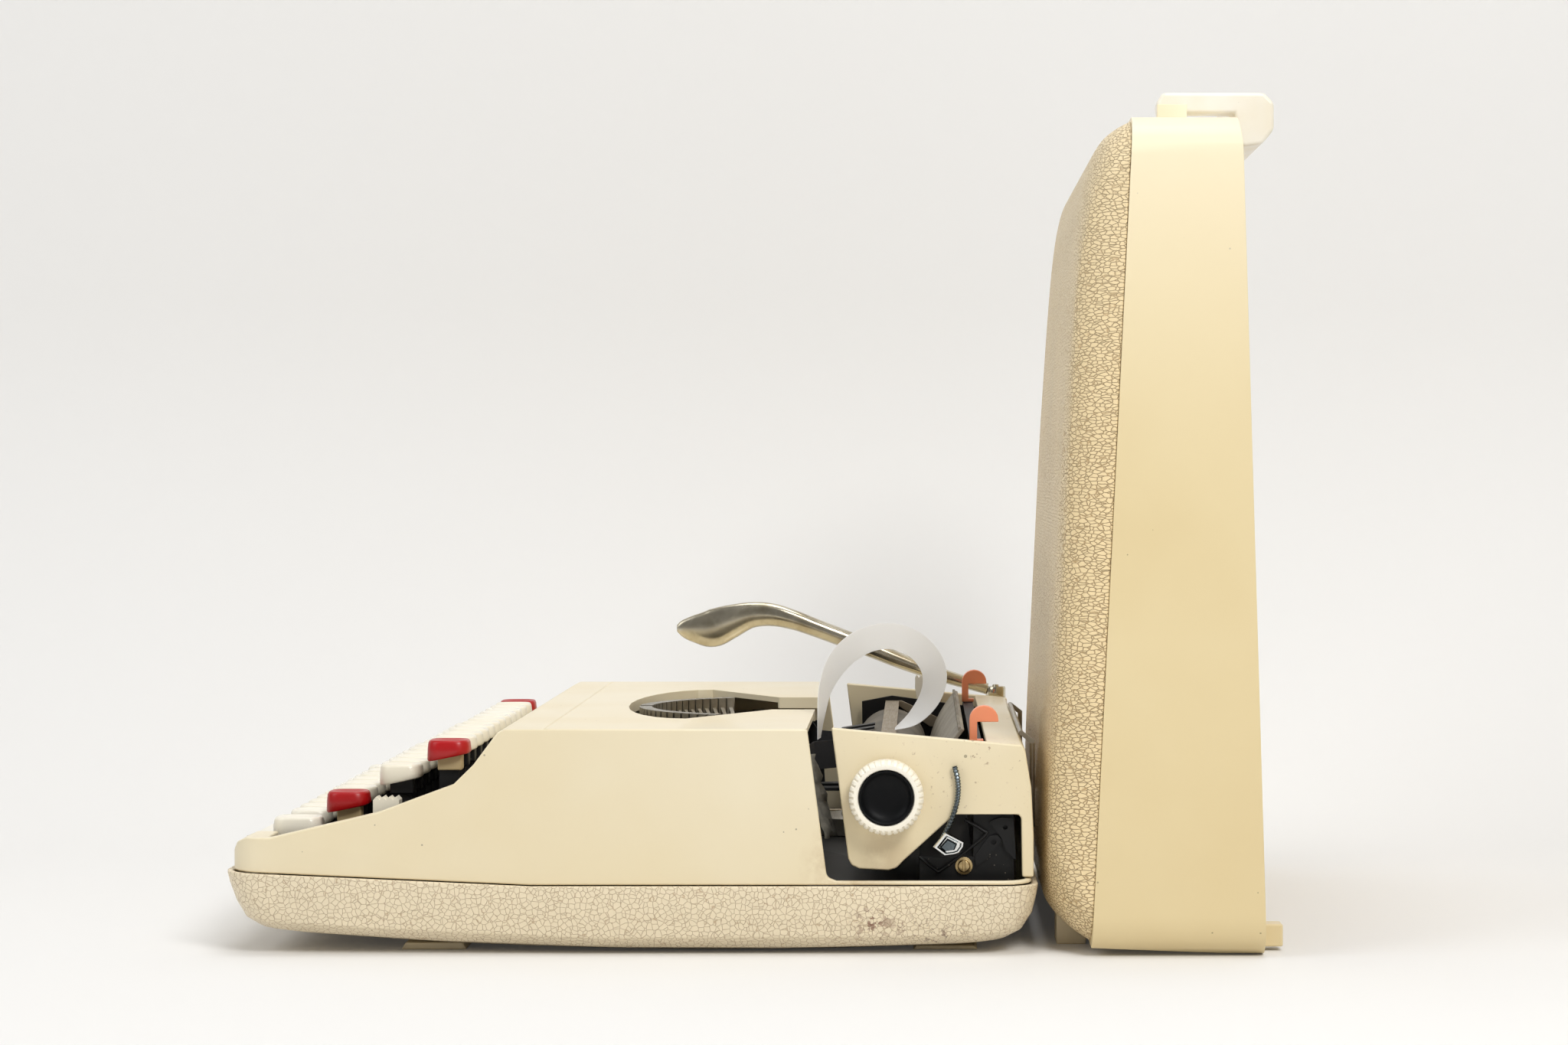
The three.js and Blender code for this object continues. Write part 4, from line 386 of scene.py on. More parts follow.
# %% Grained plastics
def grained(name, pebble, valley, scale, depth, wide, dirt, squeeze=(1.0, 1.0, 1.0)):
    material, tree, shader, place = start(name, 0.45, coat=0.08)
    size = put(tree, "ShaderNodeMapping")
    tree.links.new(place, size.inputs["Vector"])
    size.inputs["Scale"].default_value = squeeze
    grain = effect(tree, GRAIN, size.outputs[0], Scale=scale, Valley=wide)
    age = effect(tree, AGE, place, Cloud_scale=14.0, Speck_share=0.05)
    tint = mixed(tree, age.outputs["Cloud"], pebble, tuple(v * 0.93 for v in pebble[:3]) + (1.0,))
    mask = calc(tree, "MULTIPLY", calc(tree, "POWER", grain.outputs["Crack"], 2.0), dirt)
    tree.links.new(mixed(tree, mask, tint, valley), shader.inputs["Base Color"])
    tree.links.new(span(tree, grain.outputs["Crack"], 0, 1, 0.42, 0.7), shader.inputs["Roughness"])
    bump(tree, shader, grain.outputs["Height"], depth)
    return material


TRAY_SKIN = grained(
    "tray_skin", linear(243, 228, 197), linear(164, 124, 80), 480.0, 0.17, 0.07, 0.62
)
LID_SKIN = grained(
    "lid_skin", linear(248, 224, 176), linear(168, 122, 62), 430.0,
    0.42, 0.13, 0.62, squeeze=(1.0, 0.8, 1.75),
)
print("grained", TRAY_SKIN.name, LID_SKIN.name)

# %% [markdown]
# The top of the lid is painted paler than its lower part, a painted highlight where the lamps above
# light it most. A mask that grows with the height mixes a paler colour over the rim and the skin.


# %% Painted highlight on the top of the lid
def paint_light_on_top(material, pale, strength):
    tree = material.node_tree
    shader = tree.nodes["Principled BSDF"]
    parts = tree.nodes.new("ShaderNodeSeparateXYZ")
    tree.links.new(tree.nodes.new("ShaderNodeTexCoord").outputs["Object"], parts.inputs[0])
    height = span(tree, parts.outputs["Z"], 0.16, 0.325)
    share = calc(tree, "MULTIPLY", calc(tree, "POWER", height, 1.6), strength)
    base = shader.inputs["Base Color"].links[0].from_socket
    tree.links.new(mixed(tree, share, base, pale), shader.inputs["Base Color"])


# Painted highlight: the paler colour over the upper rim and skin stands in for light from above.
paint_light_on_top(RIM_CREAM, linear(250, 238, 208), 0.9)
paint_light_on_top(LID_SKIN, linear(240, 222, 184), 0.55)
print("top_light_painted", RIM_CREAM.name, LID_SKIN.name)

# %% [markdown]
# A reddish stain lies low on the tray's right side. A brown painted shade lies on the rounded lower edge of
# the right end cover, a broad brown patch lies low on the housing beside it, and specks of rust lie on the
# cover's upper edge. Each is a noise mask that fades with the distance from its middle, so no image has to
# be painted.


# %% Stains and painted shade
def blotch(material, middle, reach, colour, strength, scale=130.0, level=0.5, soft=0.06):
    tree = material.node_tree
    shader = tree.nodes["Principled BSDF"]
    place = tree.nodes.new("ShaderNodeTexCoord").outputs["Object"]
    offset = put(tree, "ShaderNodeVectorMath", operation="DISTANCE")
    tree.links.new(place, offset.inputs[0])
    offset.inputs[1].default_value = middle
    near = span(tree, offset.outputs["Value"], reach, reach * 0.15)
    cells = put(tree, "ShaderNodeTexNoise", Scale=scale, Detail=6.0, Roughness=0.65)
    tree.links.new(place, cells.inputs["Vector"])
    spots = span(tree, cells.outputs["Fac"], level, level + soft)
    mask = calc(tree, "MULTIPLY", spots, near, clamp=True)
    unmarked_colour = shader.inputs["Base Color"].links[0].from_socket
    stain_and_shade_colour = mixed(tree, calc(tree, "MULTIPLY", mask, strength), unmarked_colour, colour)
    tree.links.new(stain_and_shade_colour, shader.inputs["Base Color"])


blotch(TRAY_SKIN, at(150, 247, 11.5), 0.011, linear(118, 58, 34), 0.9, 330.0, 0.52)
blotch(TRAY_SKIN, at(150, 260, 10), 0.008, linear(112, 58, 38), 0.85, 420.0, 0.54)
blotch(TRAY_SKIN, at(146, 272, 3.5), 0.016, linear(104, 60, 42), 0.8, 420.0, 0.56)
blotch(TRAY_SKIN, at(150, 284, 24), 0.008, linear(140, 96, 60), 0.6, 420.0, 0.56)
# Painted shade: a brown patch on the rounded lower edge of the right end cover.
blotch(CARRIAGE_CREAM, at(150, 252, 37), 0.016, linear(150, 108, 50), 0.6, 90.0, 0.36, 0.2)
blotch(CARRIAGE_CREAM, at(150, 288, 96), 0.06, linear(120, 74, 40), 0.8, 420.0, 0.62)
# A broad brown patch low on the housing beside the end cover.
blotch(CREAM, at(150, 238, 34), 0.02, linear(168, 128, 70), 0.6, 90.0, 0.36, 0.2)
print("stained", [m.name for m in (TRAY_SKIN, CARRIAGE_CREAM, CREAM)])

# %% [markdown]
# Steel is plain and a little stained, the return lever is polished, and the tab of the carriage
# release is chromed. All are one metal with drawn lines and stains, with values of their own.


# %% Metals
def metal(name, colour, stained_colour, rough, along=(0.05, 1, 1), scale=1400.0, stain=0.5, depth=0.006):
    material, tree, shader, place = start(name, rough, metal=1.0)
    x, y, z = along
    lines = effect(tree, LINES, place, Along_x=x, Along_y=y, Along_z=z, Scale=scale)
    mask = calc(tree, "MULTIPLY", lines.outputs["Stain"], stain)
    tree.links.new(mixed(tree, mask, colour, stained_colour), shader.inputs["Base Color"])
    uneven = span(tree, lines.outputs["Line"], 0.3, 0.7, rough - 0.06, rough + 0.12)
    tree.links.new(uneven, shader.inputs["Roughness"])
    bump(tree, shader, lines.outputs["Line"], depth)
    return material


STEEL = metal("plain_steel", linear(176, 172, 162), linear(120, 108, 88), 0.36)
ALLOY = metal(
    "polished_alloy", linear(204, 196, 176), linear(146, 132, 100),
    0.17, along=(1.0, 0.06, 0.06), scale=900.0, stain=0.6, depth=0.001,
)
CHROME = metal("chrome_plate", linear(224, 224, 222), linear(170, 166, 156), 0.12, stain=0.25)
BRASS = metal("dull_brass", linear(214, 190, 142), linear(150, 124, 80), 0.35)
# A darker copy of the chrome, a painted shade, for the wire and the panel of the carriage release.
SHADED_CHROME = metal("shaded_chrome", linear(96, 104, 108), linear(54, 60, 64), 0.16, stain=0.2)
BAIL_METAL = metal("dull_bail_metal", linear(158, 146, 128), linear(120, 108, 90), 0.5)
print("metals", [m.name for m in (STEEL, ALLOY, CHROME, BRASS, SHADED_CHROME, BAIL_METAL)])

# %% [markdown]
# The frame is enamelled black, satin, with dust on it. The platen and the paper table are aged
# rubber, and the table has fine ribs, which a wave pattern gives as a bump.


# %% Enamel and rubber
def enamel(name, colour, dust, rough=0.42, dust_share=0.35):
    material, tree, shader, place = start(name, rough, coat=0.02)
    shader.inputs["Specular IOR Level"].default_value = 0.3
    age = effect(tree, AGE, place, Cloud_scale=60.0, Speck_scale=420.0, Speck_share=0.12)
    cloud = calc(tree, "MULTIPLY", age.outputs["Cloud"], dust_share)
    tint = mixed(tree, cloud, colour, dust)
    speck = calc(tree, "MULTIPLY", age.outputs["Speck"], 0.5)
    tree.links.new(mixed(tree, speck, tint, linear(120, 112, 98)), shader.inputs["Base Color"])
    bump(tree, shader, age.outputs["Orange peel"], 0.02)
    return material


BLACK = enamel("black_enamel", linear(15, 15, 16), linear(40, 38, 34), 0.5, 0.22)


def rubber(name, colour, worn, rough, rib_scale=0.0):
    material, tree, shader, place = start(name, rough)
    age = effect(tree, AGE, place, Cloud_scale=45.0, Speck_share=0.05)
    tree.links.new(mixed(tree, age.outputs["Cloud"], colour, worn), shader.inputs["Base Color"])
    if rib_scale:
        ribs = put(tree, "ShaderNodeTexWave", bands_direction="X", Scale=rib_scale, Distortion=0.4)
        tree.links.new(place, ribs.inputs["Vector"])
        bump(tree, shader, ribs.outputs["Fac"], 0.25)
    else:
        bump(tree, shader, age.outputs["Orange peel"], 0.05)
    return material


PLATEN_RUBBER = rubber("platen_rubber", linear(84, 78, 68), linear(120, 112, 98), 0.62)
TABLE_RUBBER = rubber("paper_table_finish", linear(126, 118, 104), linear(158, 150, 134), 0.5, 160.0)
print("black and rubber", [m.name for m in (BLACK, PLATEN_RUBBER, TABLE_RUBBER)])

# %% [markdown]
# Paper, the inked ribbon and dusty cloth are soft fibres: noise that varies the colour a little and
# raises a faint nap. Paper also lets some light through, which a translucent shader gives.


# %% Paper, ribbon, dust
def soft_fibre(name, colour, shade, scale, rough, depth, through_share=0.0):
    material, tree, shader, place = start(name, rough)
    if through_share:
        thin = put(tree, "ShaderNodeBsdfTranslucent", Color=colour)
        both = tree.nodes.new("ShaderNodeMixShader")
        both.inputs[0].default_value = through_share
        tree.links.new(shader.outputs[0], both.inputs[1])
        tree.links.new(thin.outputs[0], both.inputs[2])
        tree.links.new(both.outputs[0], tree.nodes["Material Output"].inputs["Surface"])
    fibre = put(tree, "ShaderNodeTexNoise", Scale=scale, Detail=5.0)
    tree.links.new(place, fibre.inputs["Vector"])
    tree.links.new(mixed(tree, fibre.outputs["Fac"], colour, shade), shader.inputs["Base Color"])
    bump(tree, shader, fibre.outputs["Fac"], depth)
    return material


PAPER = soft_fibre("paper", linear(255, 255, 255), linear(253, 253, 251), 900.0, 0.9, 0.01, 0.5)
RIBBON = soft_fibre("inked_fabric", linear(14, 14, 16), linear(34, 33, 36), 2600.0, 0.9, 0.05)
DUST = soft_fibre("dusty_fabric", linear(150, 146, 134), linear(52, 50, 45), 260.0, 0.95, 0.6)
print("materials", len(bpy.data.materials))

# %% [markdown]
# A mould leaves no sharp edge, and a CAD solid has only sharp ones. The helper copies a node's
# faces, joins them into flat panels again, and rounds the edges that turn by more than a set
# angle. The copy then stands for the node and rides on its body.


# %% Rounded copies of the solids
def new_piece(name, mesh, body, material, *nodes):
    piece = bpy.data.objects.new(name, mesh)
    bpy.context.scene.collection.objects.link(piece)
    mesh.materials.clear()
    mesh.materials.append(material)
    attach(piece, body)
    if nodes:
        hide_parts(*nodes)
    return piece


def smooth_by_angle(mesh, degrees):
    for polygon in mesh.polygons:
        polygon.use_smooth = True
    mesh.set_sharp_from_angle(angle=math.radians(degrees))


def rounded(node, material, edge=0.5, steps=3, turn=28):
    """A copy of a CAD node with rounded edges; edge is the radius in millimetres."""
    source = frame["nodes"][node]
    faces = bmesh.new()
    faces.from_mesh(source.data)
    bmesh.ops.remove_doubles(faces, verts=faces.verts, dist=0.01 * MM)
    bmesh.ops.dissolve_limit(
        faces, angle_limit=math.radians(1.5), verts=faces.verts, edges=faces.edges, delimit=set()
    )
    mesh = bpy.data.meshes.new(node + "_form")
    faces.to_mesh(mesh)
    faces.free()
    piece = new_piece(node + "_form", mesh, source["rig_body"], material, node)
    bevel = piece.modifiers.new("rounded_edges", "BEVEL")
    bevel.width = edge * MM
    bevel.segments = steps
    bevel.limit_method = "ANGLE"
    bevel.angle_limit = math.radians(turn)
    bevel.harden_normals = True
    smooth_by_angle(mesh, turn + 12)
    return piece


# %% [markdown]
# One table says how each solid is dressed: its material, the radius of its edges in millimetres
# and a slot name, which the loop below doesn't use. Small sheet parts get a small radius, and
# moulded covers a large one. Right and left parts are alike, so loops add them.

# %% Every node's finish
FINISHES = {
    "base_tray": (TRAY_SKIN, 0.8, "grained"),
    "body_housing": (CREAM, 1.1, "cream"),
    "ribbon_cover": (CREAM, 0.6, "cream"),
    "chassis": (BLACK, 0.3, "black"),
    "rear_frame": (BLACK, 0.4, "black"),
    "frame_screw": (BRASS, 0.15, "brass"),
    "mainspring_drum": (STEEL, 0.3, "steel"),
    "fulcrum_bar": (STEEL, 0.2, "steel"),
    "type_segment": (STEEL, 0.4, "steel"),
    "typebar_fan": (STEEL, 0.15, "steel"),
    "typebar": (STEEL, 0.1, "steel"),
    "ribbon_guide": (BLACK, 0.2, "black"),
    "ink_ribbon": (RIBBON, 0.1, "ribbon"),
    "space_bar": (WHITE, 0.6, "white"),
    "shift_shaft": (STEEL, 0.2, "steel"),
    "ribbon_selector": (WHITE, 0.2, "white"),
    "carriage_frame": (BLACK, 0.3, "black"),
    "rear_cover": (CARRIAGE_CREAM, 0.6, "cream"),
    "paper_table": (TABLE_RUBBER, 0.3, "rubber"),
    "margin_rail": (BLACK, 0.3, "black"),
    "lever_bracket": (CARRIAGE_CREAM, 1.0, "cream"),
    "platen": (PLATEN_RUBBER, 0.5, "rubber"),
    "platen_ratchet": (STEEL, 0.1, "steel"),
    "paper_bail": (BAIL_METAL, 0.2, "steel"),
    "paper_release": (WHITE, 0.25, "white"),
    "paper_support": (STEEL, 0.2, "steel"),
    "lid_rim": (RIM_CREAM, 0.7, "lid_cream"),
    "lid_handle": (HANDLE_WHITE, 1.6, "white"),
}
for name in ("foot_front", "foot_rear", "lid_foot"):
    for side in ("right", "left"):
        FINISHES[f"{name}_{side}"] = (FOOT_GREY, 0.6, "white")
for side in ("right", "left"):
    FINISHES[f"ribbon_spool_{side}"] = (STEEL, 0.25, "steel")
    FINISHES[f"end_cover_{side}"] = (CARRIAGE_CREAM, 0.7, "cream")
    FINISHES[f"margin_stop_{side}"] = (SALMON, 0.3, "salmon")
    FINISHES[f"lid_tab_{side}"] = (RIM_CREAM, 0.8, "lid_cream")

forms = {}
for node, (material, edge, slot_name) in FINISHES.items():
    forms[node] = rounded(node, material, edge)
print("rounded", len(forms), "nodes")

# %% [markdown]
# Forms that change along their length are drawn as rings of points with faces between them, as a
# basket is woven on hoops. The helpers here close such rings into a skin, draw plain boxes, and
# turn either into a piece that rides on a body and stands for the solids that it replaces.


# %% Helpers for drawn forms
def around(count):
    """Equal angles once around."""
    return [2 * math.pi * k / count for k in range(count)]


def neighbours(rows, i):
    """The rows before and after one row, or the row itself at either end."""
    return rows[max(i - 1, 0)], rows[min(i + 1, len(rows) - 1)]


def join_rings(work, rings, cap_first=True, cap_last=True):
    """Faces between rings of equal length, added to a bmesh."""
    loops = [[work.verts.new(p) for p in ring] for ring in rings]
    size = len(loops[0])
    for low, high in zip(loops, loops[1:]):
        for k in range(size):
            work.faces.new((low[k], low[(k + 1) % size], high[(k + 1) % size], high[k]))
    if cap_first:
        work.faces.new(list(reversed(loops[0])))
    if cap_last:
        work.faces.new(loops[-1])


def skin(rings, **caps):
    work = bmesh.new()
    join_rings(work, rings, **caps)
    return work


def box_mesh(into, low, high):
    corners = [(x, y, z) for x in (low[0], high[0]) for y in (low[1], high[1]) for z in (low[2], high[2])]
    v = [into.verts.new(c) for c in corners]
    for face in ((0, 1, 3, 2), (4, 6, 7, 5), (0, 4, 5, 1), (2, 3, 7, 6), (0, 2, 6, 4), (1, 5, 7, 3)):
        into.faces.new([v[k] for k in face])


def as_piece(work, name, body, material, slot_name, *nodes, sharp=50):
    bmesh.ops.recalc_face_normals(work, faces=work.faces)
    mesh = bpy.data.meshes.new(name)
    work.to_mesh(mesh)
    work.free()
    piece = new_piece(name, mesh, body, material, *nodes)
    smooth_by_angle(mesh, sharp)
    print("piece", name, len(mesh.vertices), "points")
    return piece


# %% [markdown]
# A key is a glossy cap on a dull stem on a dark lever. The cap's skirt hangs lower at the front than
# at the back, and its outline is a rounded square that narrows to a shallow dish. The stems are beige
# under the function keys and the shift keys, and black under the rest. All three ride on the body of
# their key's node, so that they move with it. They are drawn as rings and boxes, because a bevel
# can't give the falling skirt.

# %% Key caps
STEM_BEIGE = moulded("key_stem_plastic", linear(214, 198, 158), linear(182, 158, 112), rough=0.5, coat=0.0)


def ring_points(centre, wide, long, corner, up_front, up_back, count=7):
    """A rounded rectangle whose height falls from its back to its front."""
    points = []
    for quarter in range(4):
        sx = (1, -1, -1, 1)[quarter]
        sy = (1, 1, -1, -1)[quarter]
        for k in range(count):
            angle = math.pi / 2 * (quarter + k / (count - 1))
            x = sx * (wide / 2 - corner) + corner * math.cos(angle)
            y = sy * (long / 2 - corner) + corner * math.sin(angle)
            share = y / long + 0.5
            rise = up_front + (up_back - up_front) * share
            points.append((centre[0] + x, centre[1] + y, centre[2] + rise))
    return points


CAP_CORNER = 0.33  # the corner's radius as a share of the cap's shorter side


def cap_mesh(into, centre, wide, long):
    """One key cap, added to a bmesh; the centre is the middle of the skirt's lower edge."""
    steps = [
        (0.94, 0.0, -1.7 * MM, 1.4 * MM),
        (1.0, 0.35 * MM, -1.4 * MM, 1.6 * MM),
        (0.985, 3.2 * MM, 0, 0),
        (0.955, 5.4 * MM, 0, 0),
        (0.90, 6.3 * MM, 0, 0),
        (0.84, 6.55 * MM, 0, 0),
        (0.76, 6.35 * MM, 0, 0),
        (0.45, 5.75 * MM, 0, 0),
        (0.12, 5.6 * MM, 0, 0),
    ]
    rings = []
    for share, up, front, back in steps:
        middle = (centre[0], centre[1], centre[2] + up)
        corner = min(wide, long) * CAP_CORNER * share
        rings.append(ring_points(middle, wide * share, long * share, corner, front, back))
    join_rings(into, rings)


print("key cap material", WHITE.name, "stem material", STEM_BEIGE.name)

# %% [markdown]
# The keys stand 19 mm apart, and each row starts at a place of its own, further back and higher
# than the row before. A row is one node, so its caps, stems and levers are three pieces, and the
# function keys and the shift keys have three of their own.

# %% Rows of keys
KEY_STEP = 19
ROW_START = (-9, -9.75, -10.25, -9.25)
ROW_KEYS = (10, 11, 12, 11)
FIRST_ROW_DEPTH, ROW_STEP = 23.5, 19.8
FIRST_ROW_LOW, ROW_RISE = 43.4, 10.1
SHIFT_AT = 6 * KEY_STEP
# Reach of a stem and of a lever's upright from the middle of their key's skirt
HALF_STEM, STEM_FRONT, STEM_BACK = 3.2, 4.2, 5.2
STEM_BELOW, STEM_ABOVE = 5.2, 3.4
STEM_EDGE = 0.6
HALF_LEVER, UPRIGHT_REACH, UPRIGHT_BELOW = 0.9, 3.8, 2
# Levels of a key lever, and the depth where it ends at the back
LEVER_LOW, LEVER_HIGH = 36.4, 40.0
LEVER_BACK = 129.5


def row_low(row):
    return FIRST_ROW_LOW + ROW_RISE * row


def row_depth(row):
    return FIRST_ROW_DEPTH + ROW_STEP * row


def draw_keys(name, node, row, places, cap_material, slot_name, wide=15.2, long=16.4, stem=None):
    """Caps, stems and levers of the keys that share one node; places are sideways, in millimetres."""
    body = frame["nodes"][node]["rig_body"]
    depth, low = row_depth(row), row_low(row)
    caps, stems, levers = bmesh.new(), bmesh.new(), bmesh.new()
    for x in places:
        cap_mesh(caps, at(x, depth, low), wide * MM, long * MM)
        stem_low = at(x - HALF_STEM, depth - STEM_FRONT, low - STEM_BELOW)
        box_mesh(stems, stem_low, at(x + HALF_STEM, depth + STEM_BACK, low + STEM_ABOVE))
        front = at(x - HALF_LEVER, depth - UPRIGHT_REACH, LEVER_LOW)
        box_mesh(levers, front, at(x + HALF_LEVER, depth + UPRIGHT_REACH, low - UPRIGHT_BELOW))
        box_mesh(levers, front, at(x + HALF_LEVER, LEVER_BACK, LEVER_HIGH))
    as_piece(caps, name + "_caps", body, cap_material, slot_name, node)
    stem_piece = as_piece(stems, name + "_stems", body, stem or BLACK, slot_name, sharp=30)
    bevel = stem_piece.modifiers.new("rounded_edges", "BEVEL")
    bevel.width = STEM_EDGE * MM
    bevel.segments = 2
    as_piece(levers, name + "_levers", body, BLACK, "steel", sharp=30)


def key_place(row, index):
    return (ROW_START[row] / 2 + index) * KEY_STEP


for row in range(4):
    places = [key_place(row, k) for k in range(ROW_KEYS[row])]
    draw_keys(f"row_{row + 1}", f"key_row_{row + 1}", row, places, WHITE, "white")
for name, row, index, material, slot_name in (
    ("shift_lock", 1, -1, WHITE, "white"),
    ("tabulator", 1, 11, RED, "red"),
    ("margin_release", 3, -1, RED, "red"),
    ("backspace", 3, 11, RED, "red"),
):
    places = [key_place(row, index)]
    draw_keys(name, name + "_key", row, places, material, slot_name, stem=STEM_BEIGE)
for side, x in (("right", SHIFT_AT), ("left", -SHIFT_AT)):
    draw_keys(f"shift_{side}", f"shift_key_{side}", 0, [x], WHITE, "white", long=19.2, stem=STEM_BEIGE)
print("keys drawn", sum(ROW_KEYS) + 6)

# %% [markdown]
# The return lever is a cast arm: a round rod that flattens into a leaf-shaped blade. A few rings
# are measured along it, and a curve through them gives as many rings as the surface needs.


# %% Return lever
def through(rows, steps):
    """Catmull-Rom values between measured rows of numbers."""
    out = []
    for i in range(len(rows) - 1):
        p0, p1 = rows[max(i - 1, 0)], rows[i]
        p2, p3 = rows[i + 1], rows[min(i + 2, len(rows) - 1)]
        for k in range(steps):
            t = k / steps
            row = []
            for a, b, c, d in zip(p0, p1, p2, p3):
                square = (2 * a - 5 * b + 4 * c - d) * t**2
                cube = (3 * b - a - 3 * c + d) * t**3
                row.append(0.5 * (2 * b + (c - a) * t + square + cube))
            out.append(row)
    out.append(list(rows[-1]))
    return out


# Depth, height, half height and half width, from the pivot to the tip
RETURN_RINGS = [
    (296, 82.6, 2.6, 2.6),
    (275, 88.9, 3.2, 3.2),
    (258, 94.7, 3.6, 3.5),
    (238, 102.7, 4.0, 3.5),
    (216, 111.0, 4.2, 3.4),
    (206, 114.6, 4.6, 3.2),
    (196, 117.0, 5.3, 3.0),
    (186, 116.8, 6.1, 2.7),
    (176, 113.6, 8.0, 2.4),
    (168, 110.7, 8.8, 2.2),
    (160, 110.5, 6.5, 2.0),
    (154.4, 110.7, 4.0, 1.7),
    (151.8, 110.7, 1.6, 1.0),
]
RETURN_X = -149.6
RETURN_PIVOT_DEPTH = 300
# Radius and height of the turned boss on the lever's pivot
BOSS_PROFILE = [(4.4, 78.4), (4.6, 78.8), (4.6, 83.2), (4.2, 83.8), (1.6, 83.8), (1.4, 84.6), (0.3, 84.8)]


def lever_arm(steps=28):
    rows = through(RETURN_RINGS, 5)
    rings = []
    for i, (depth, up, high, wide) in enumerate(rows):
        before, after = neighbours(rows, i)
        way = Vector((after[0] - before[0], after[1] - before[1])).normalized()
        ring = []
        for angle in around(steps):
            cosine, sine = math.cos(angle), math.sin(angle)
            side = wide * math.copysign(abs(cosine) ** 0.8, cosine)
            rise = high * math.copysign(abs(sine) ** 0.9, sine)
            ring.append(at(RETURN_X + side, depth + way.y * rise, up - way.x * rise))
        rings.append(ring)
    return as_piece(skin(rings), "return_lever_arm", "return_lever", ALLOY, "alloy", sharp=60)


def lever_boss(steps=32):
    rings = []
    for radius, up in BOSS_PROFILE:
        centre = at(RETURN_X, RETURN_PIVOT_DEPTH, up)
        ring = []
        for angle in around(steps):
            ring.append(centre + Vector((math.cos(angle), math.sin(angle), 0)) * radius * MM)
        rings.append(ring)
    return as_piece(
        skin(rings), "return_lever_boss", "return_lever", ALLOY, "alloy", "return_lever"
    )


lever_arm()
lever_boss()

# %% [markdown]
# The strip of paper is narrow, thin and a little twisted: flat to the viewer at the top of its
# loop and seen on edge in its limbs.

# %% Paper strip
# Depth, height, sideways place, and how far its width has turned from sideways to radial
STRIP_RINGS = [
    (224.1, 76.0, 64, 0.05),
    (224.9, 84.5, 63, 0.15),
    (226.8, 96.5, 61, 0.35),
    (232.8, 108.0, 60, 0.7),
    (242.9, 115.5, 60, 0.95),
    (254.9, 117.0, 60, 1.0),
    (265.0, 112.0, 60, 0.95),
    (270.5, 103.0, 60, 0.8),
    (269.2, 93.0, 58, 0.6),
    (262.6, 84.0, 55, 0.35),
    (254.6, 79.0, 51, 0.0),
]
# Across and through the strip, as shares of half its width and thickness; it is slightly hollow
STRIP_SECTION = ((-1, -1), (0, -1.6), (1, -1), (1, 1), (0, 0.4), (-1, 1))


def paper_strip(wide=10.5, thick=0.25):
    rows = through(STRIP_RINGS, 6)
    rings = []
    for i, (depth, up, side, twist) in enumerate(rows):
        before, after = neighbours(rows, i)
        way = Vector((after[2] - before[2], after[0] - before[0], after[1] - before[1])).normalized()
        angle = twist * math.pi / 2
        radial = Vector((0, -way.z, way.y)).normalized()
        across = (Vector((math.cos(angle), 0, 0)) + radial * math.sin(angle)).normalized()
        flat = way.cross(across).normalized()
        middle = at(side, depth, up)
        ring = []
        for a, b in STRIP_SECTION:
            ring.append(middle + across * (a * wide / 2 * MM) + flat * (b * thick / 2 * MM))
        rings.append(ring)
    return as_piece(skin(rings), "paper_loop", "paper_bail", PAPER, "paper", "paper_strip", sharp=40)


paper_strip()

# %% [markdown]
# The platen knobs are turned forms. Their front edge is broken by short radial notches, and the
# dark cap in the middle is dished like a saucer.


# %% Knobs and caps
def turned(profile, depth, up, side=1, steps=144, notch=None):
    """A form turned about a sideways axis; the profile lists radius and distance to the side."""
    rings = []
    for radius, out in profile:
        ring = []
        for k, angle in enumerate(around(steps)):
            r, x = notch(k, radius, out) if notch else (radius, out)
            ring.append(at(side * x, depth + r * math.cos(angle), up + r * math.sin(angle)))
        rings.append(ring)
    return skin(rings)


NOTCH_EVERY = 4
NOTCH_RADIUS, NOTCH_OUT = 12.8, 148  # only what lies beyond both is notched
NOTCH_DEEP, NOTCH_BACK = 0.5, 0.45


def knob_notch(k, radius, out):
    if k % NOTCH_EVERY == 0 and radius > NOTCH_RADIUS and out > NOTCH_OUT:
        return radius - NOTCH_DEEP, out - NOTCH_BACK
    return radius, out


# Radius and distance to the side, of the knob from its inner end and of the cap from its rim
KNOB_PROFILE = [
    (11.4, 140.9), (12.9, 141.6), (13.9, 142.2), (14.2, 143.0), (14.25, 148.4), (14.2, 149.4),
    (13.9, 150.3), (13.4, 151.2), (12.9, 151.7), (12.4, 151.95), (11.4, 152.0), (10.9, 151.8),
    (10.65, 151.2), (10.6, 147.75),
]
CAP_PROFILE = [
    (10.3, 147.9), (10.35, 150.6), (10.25, 151.0), (10.0, 151.1), (9.6, 150.9), (9.1, 150.2),
    (8.2, 149.3), (6.8, 148.7), (5.0, 148.35), (3.0, 148.2), (1.0, 148.15), (0.2, 148.15),
]
PLATEN_DEPTH, PLATEN_UP = 252, 60.3
for word, side in (("right", 1), ("left", -1)):
    knob = turned(KNOB_PROFILE, PLATEN_DEPTH, PLATEN_UP, side, notch=knob_notch)
    as_piece(knob, f"knob_{word}", "platen", KNOB_WHITE, "white", f"platen_knob_{word}", sharp=35)
    cap = turned(CAP_PROFILE, PLATEN_DEPTH, PLATEN_UP, side, steps=72)
    as_piece(cap, f"cap_{word}", "platen", CAP_BLACK, "dark_plastic", f"knob_cap_{word}", sharp=50)

# %% [markdown]
# The carriage release is a knurled wire that bends down to a small folded tab of chromed sheet.
# A round section swept along the wire's path is thinner at every second ring, which reads as
# knurling. The tab is one outline at several distances, shrunk a little at each.


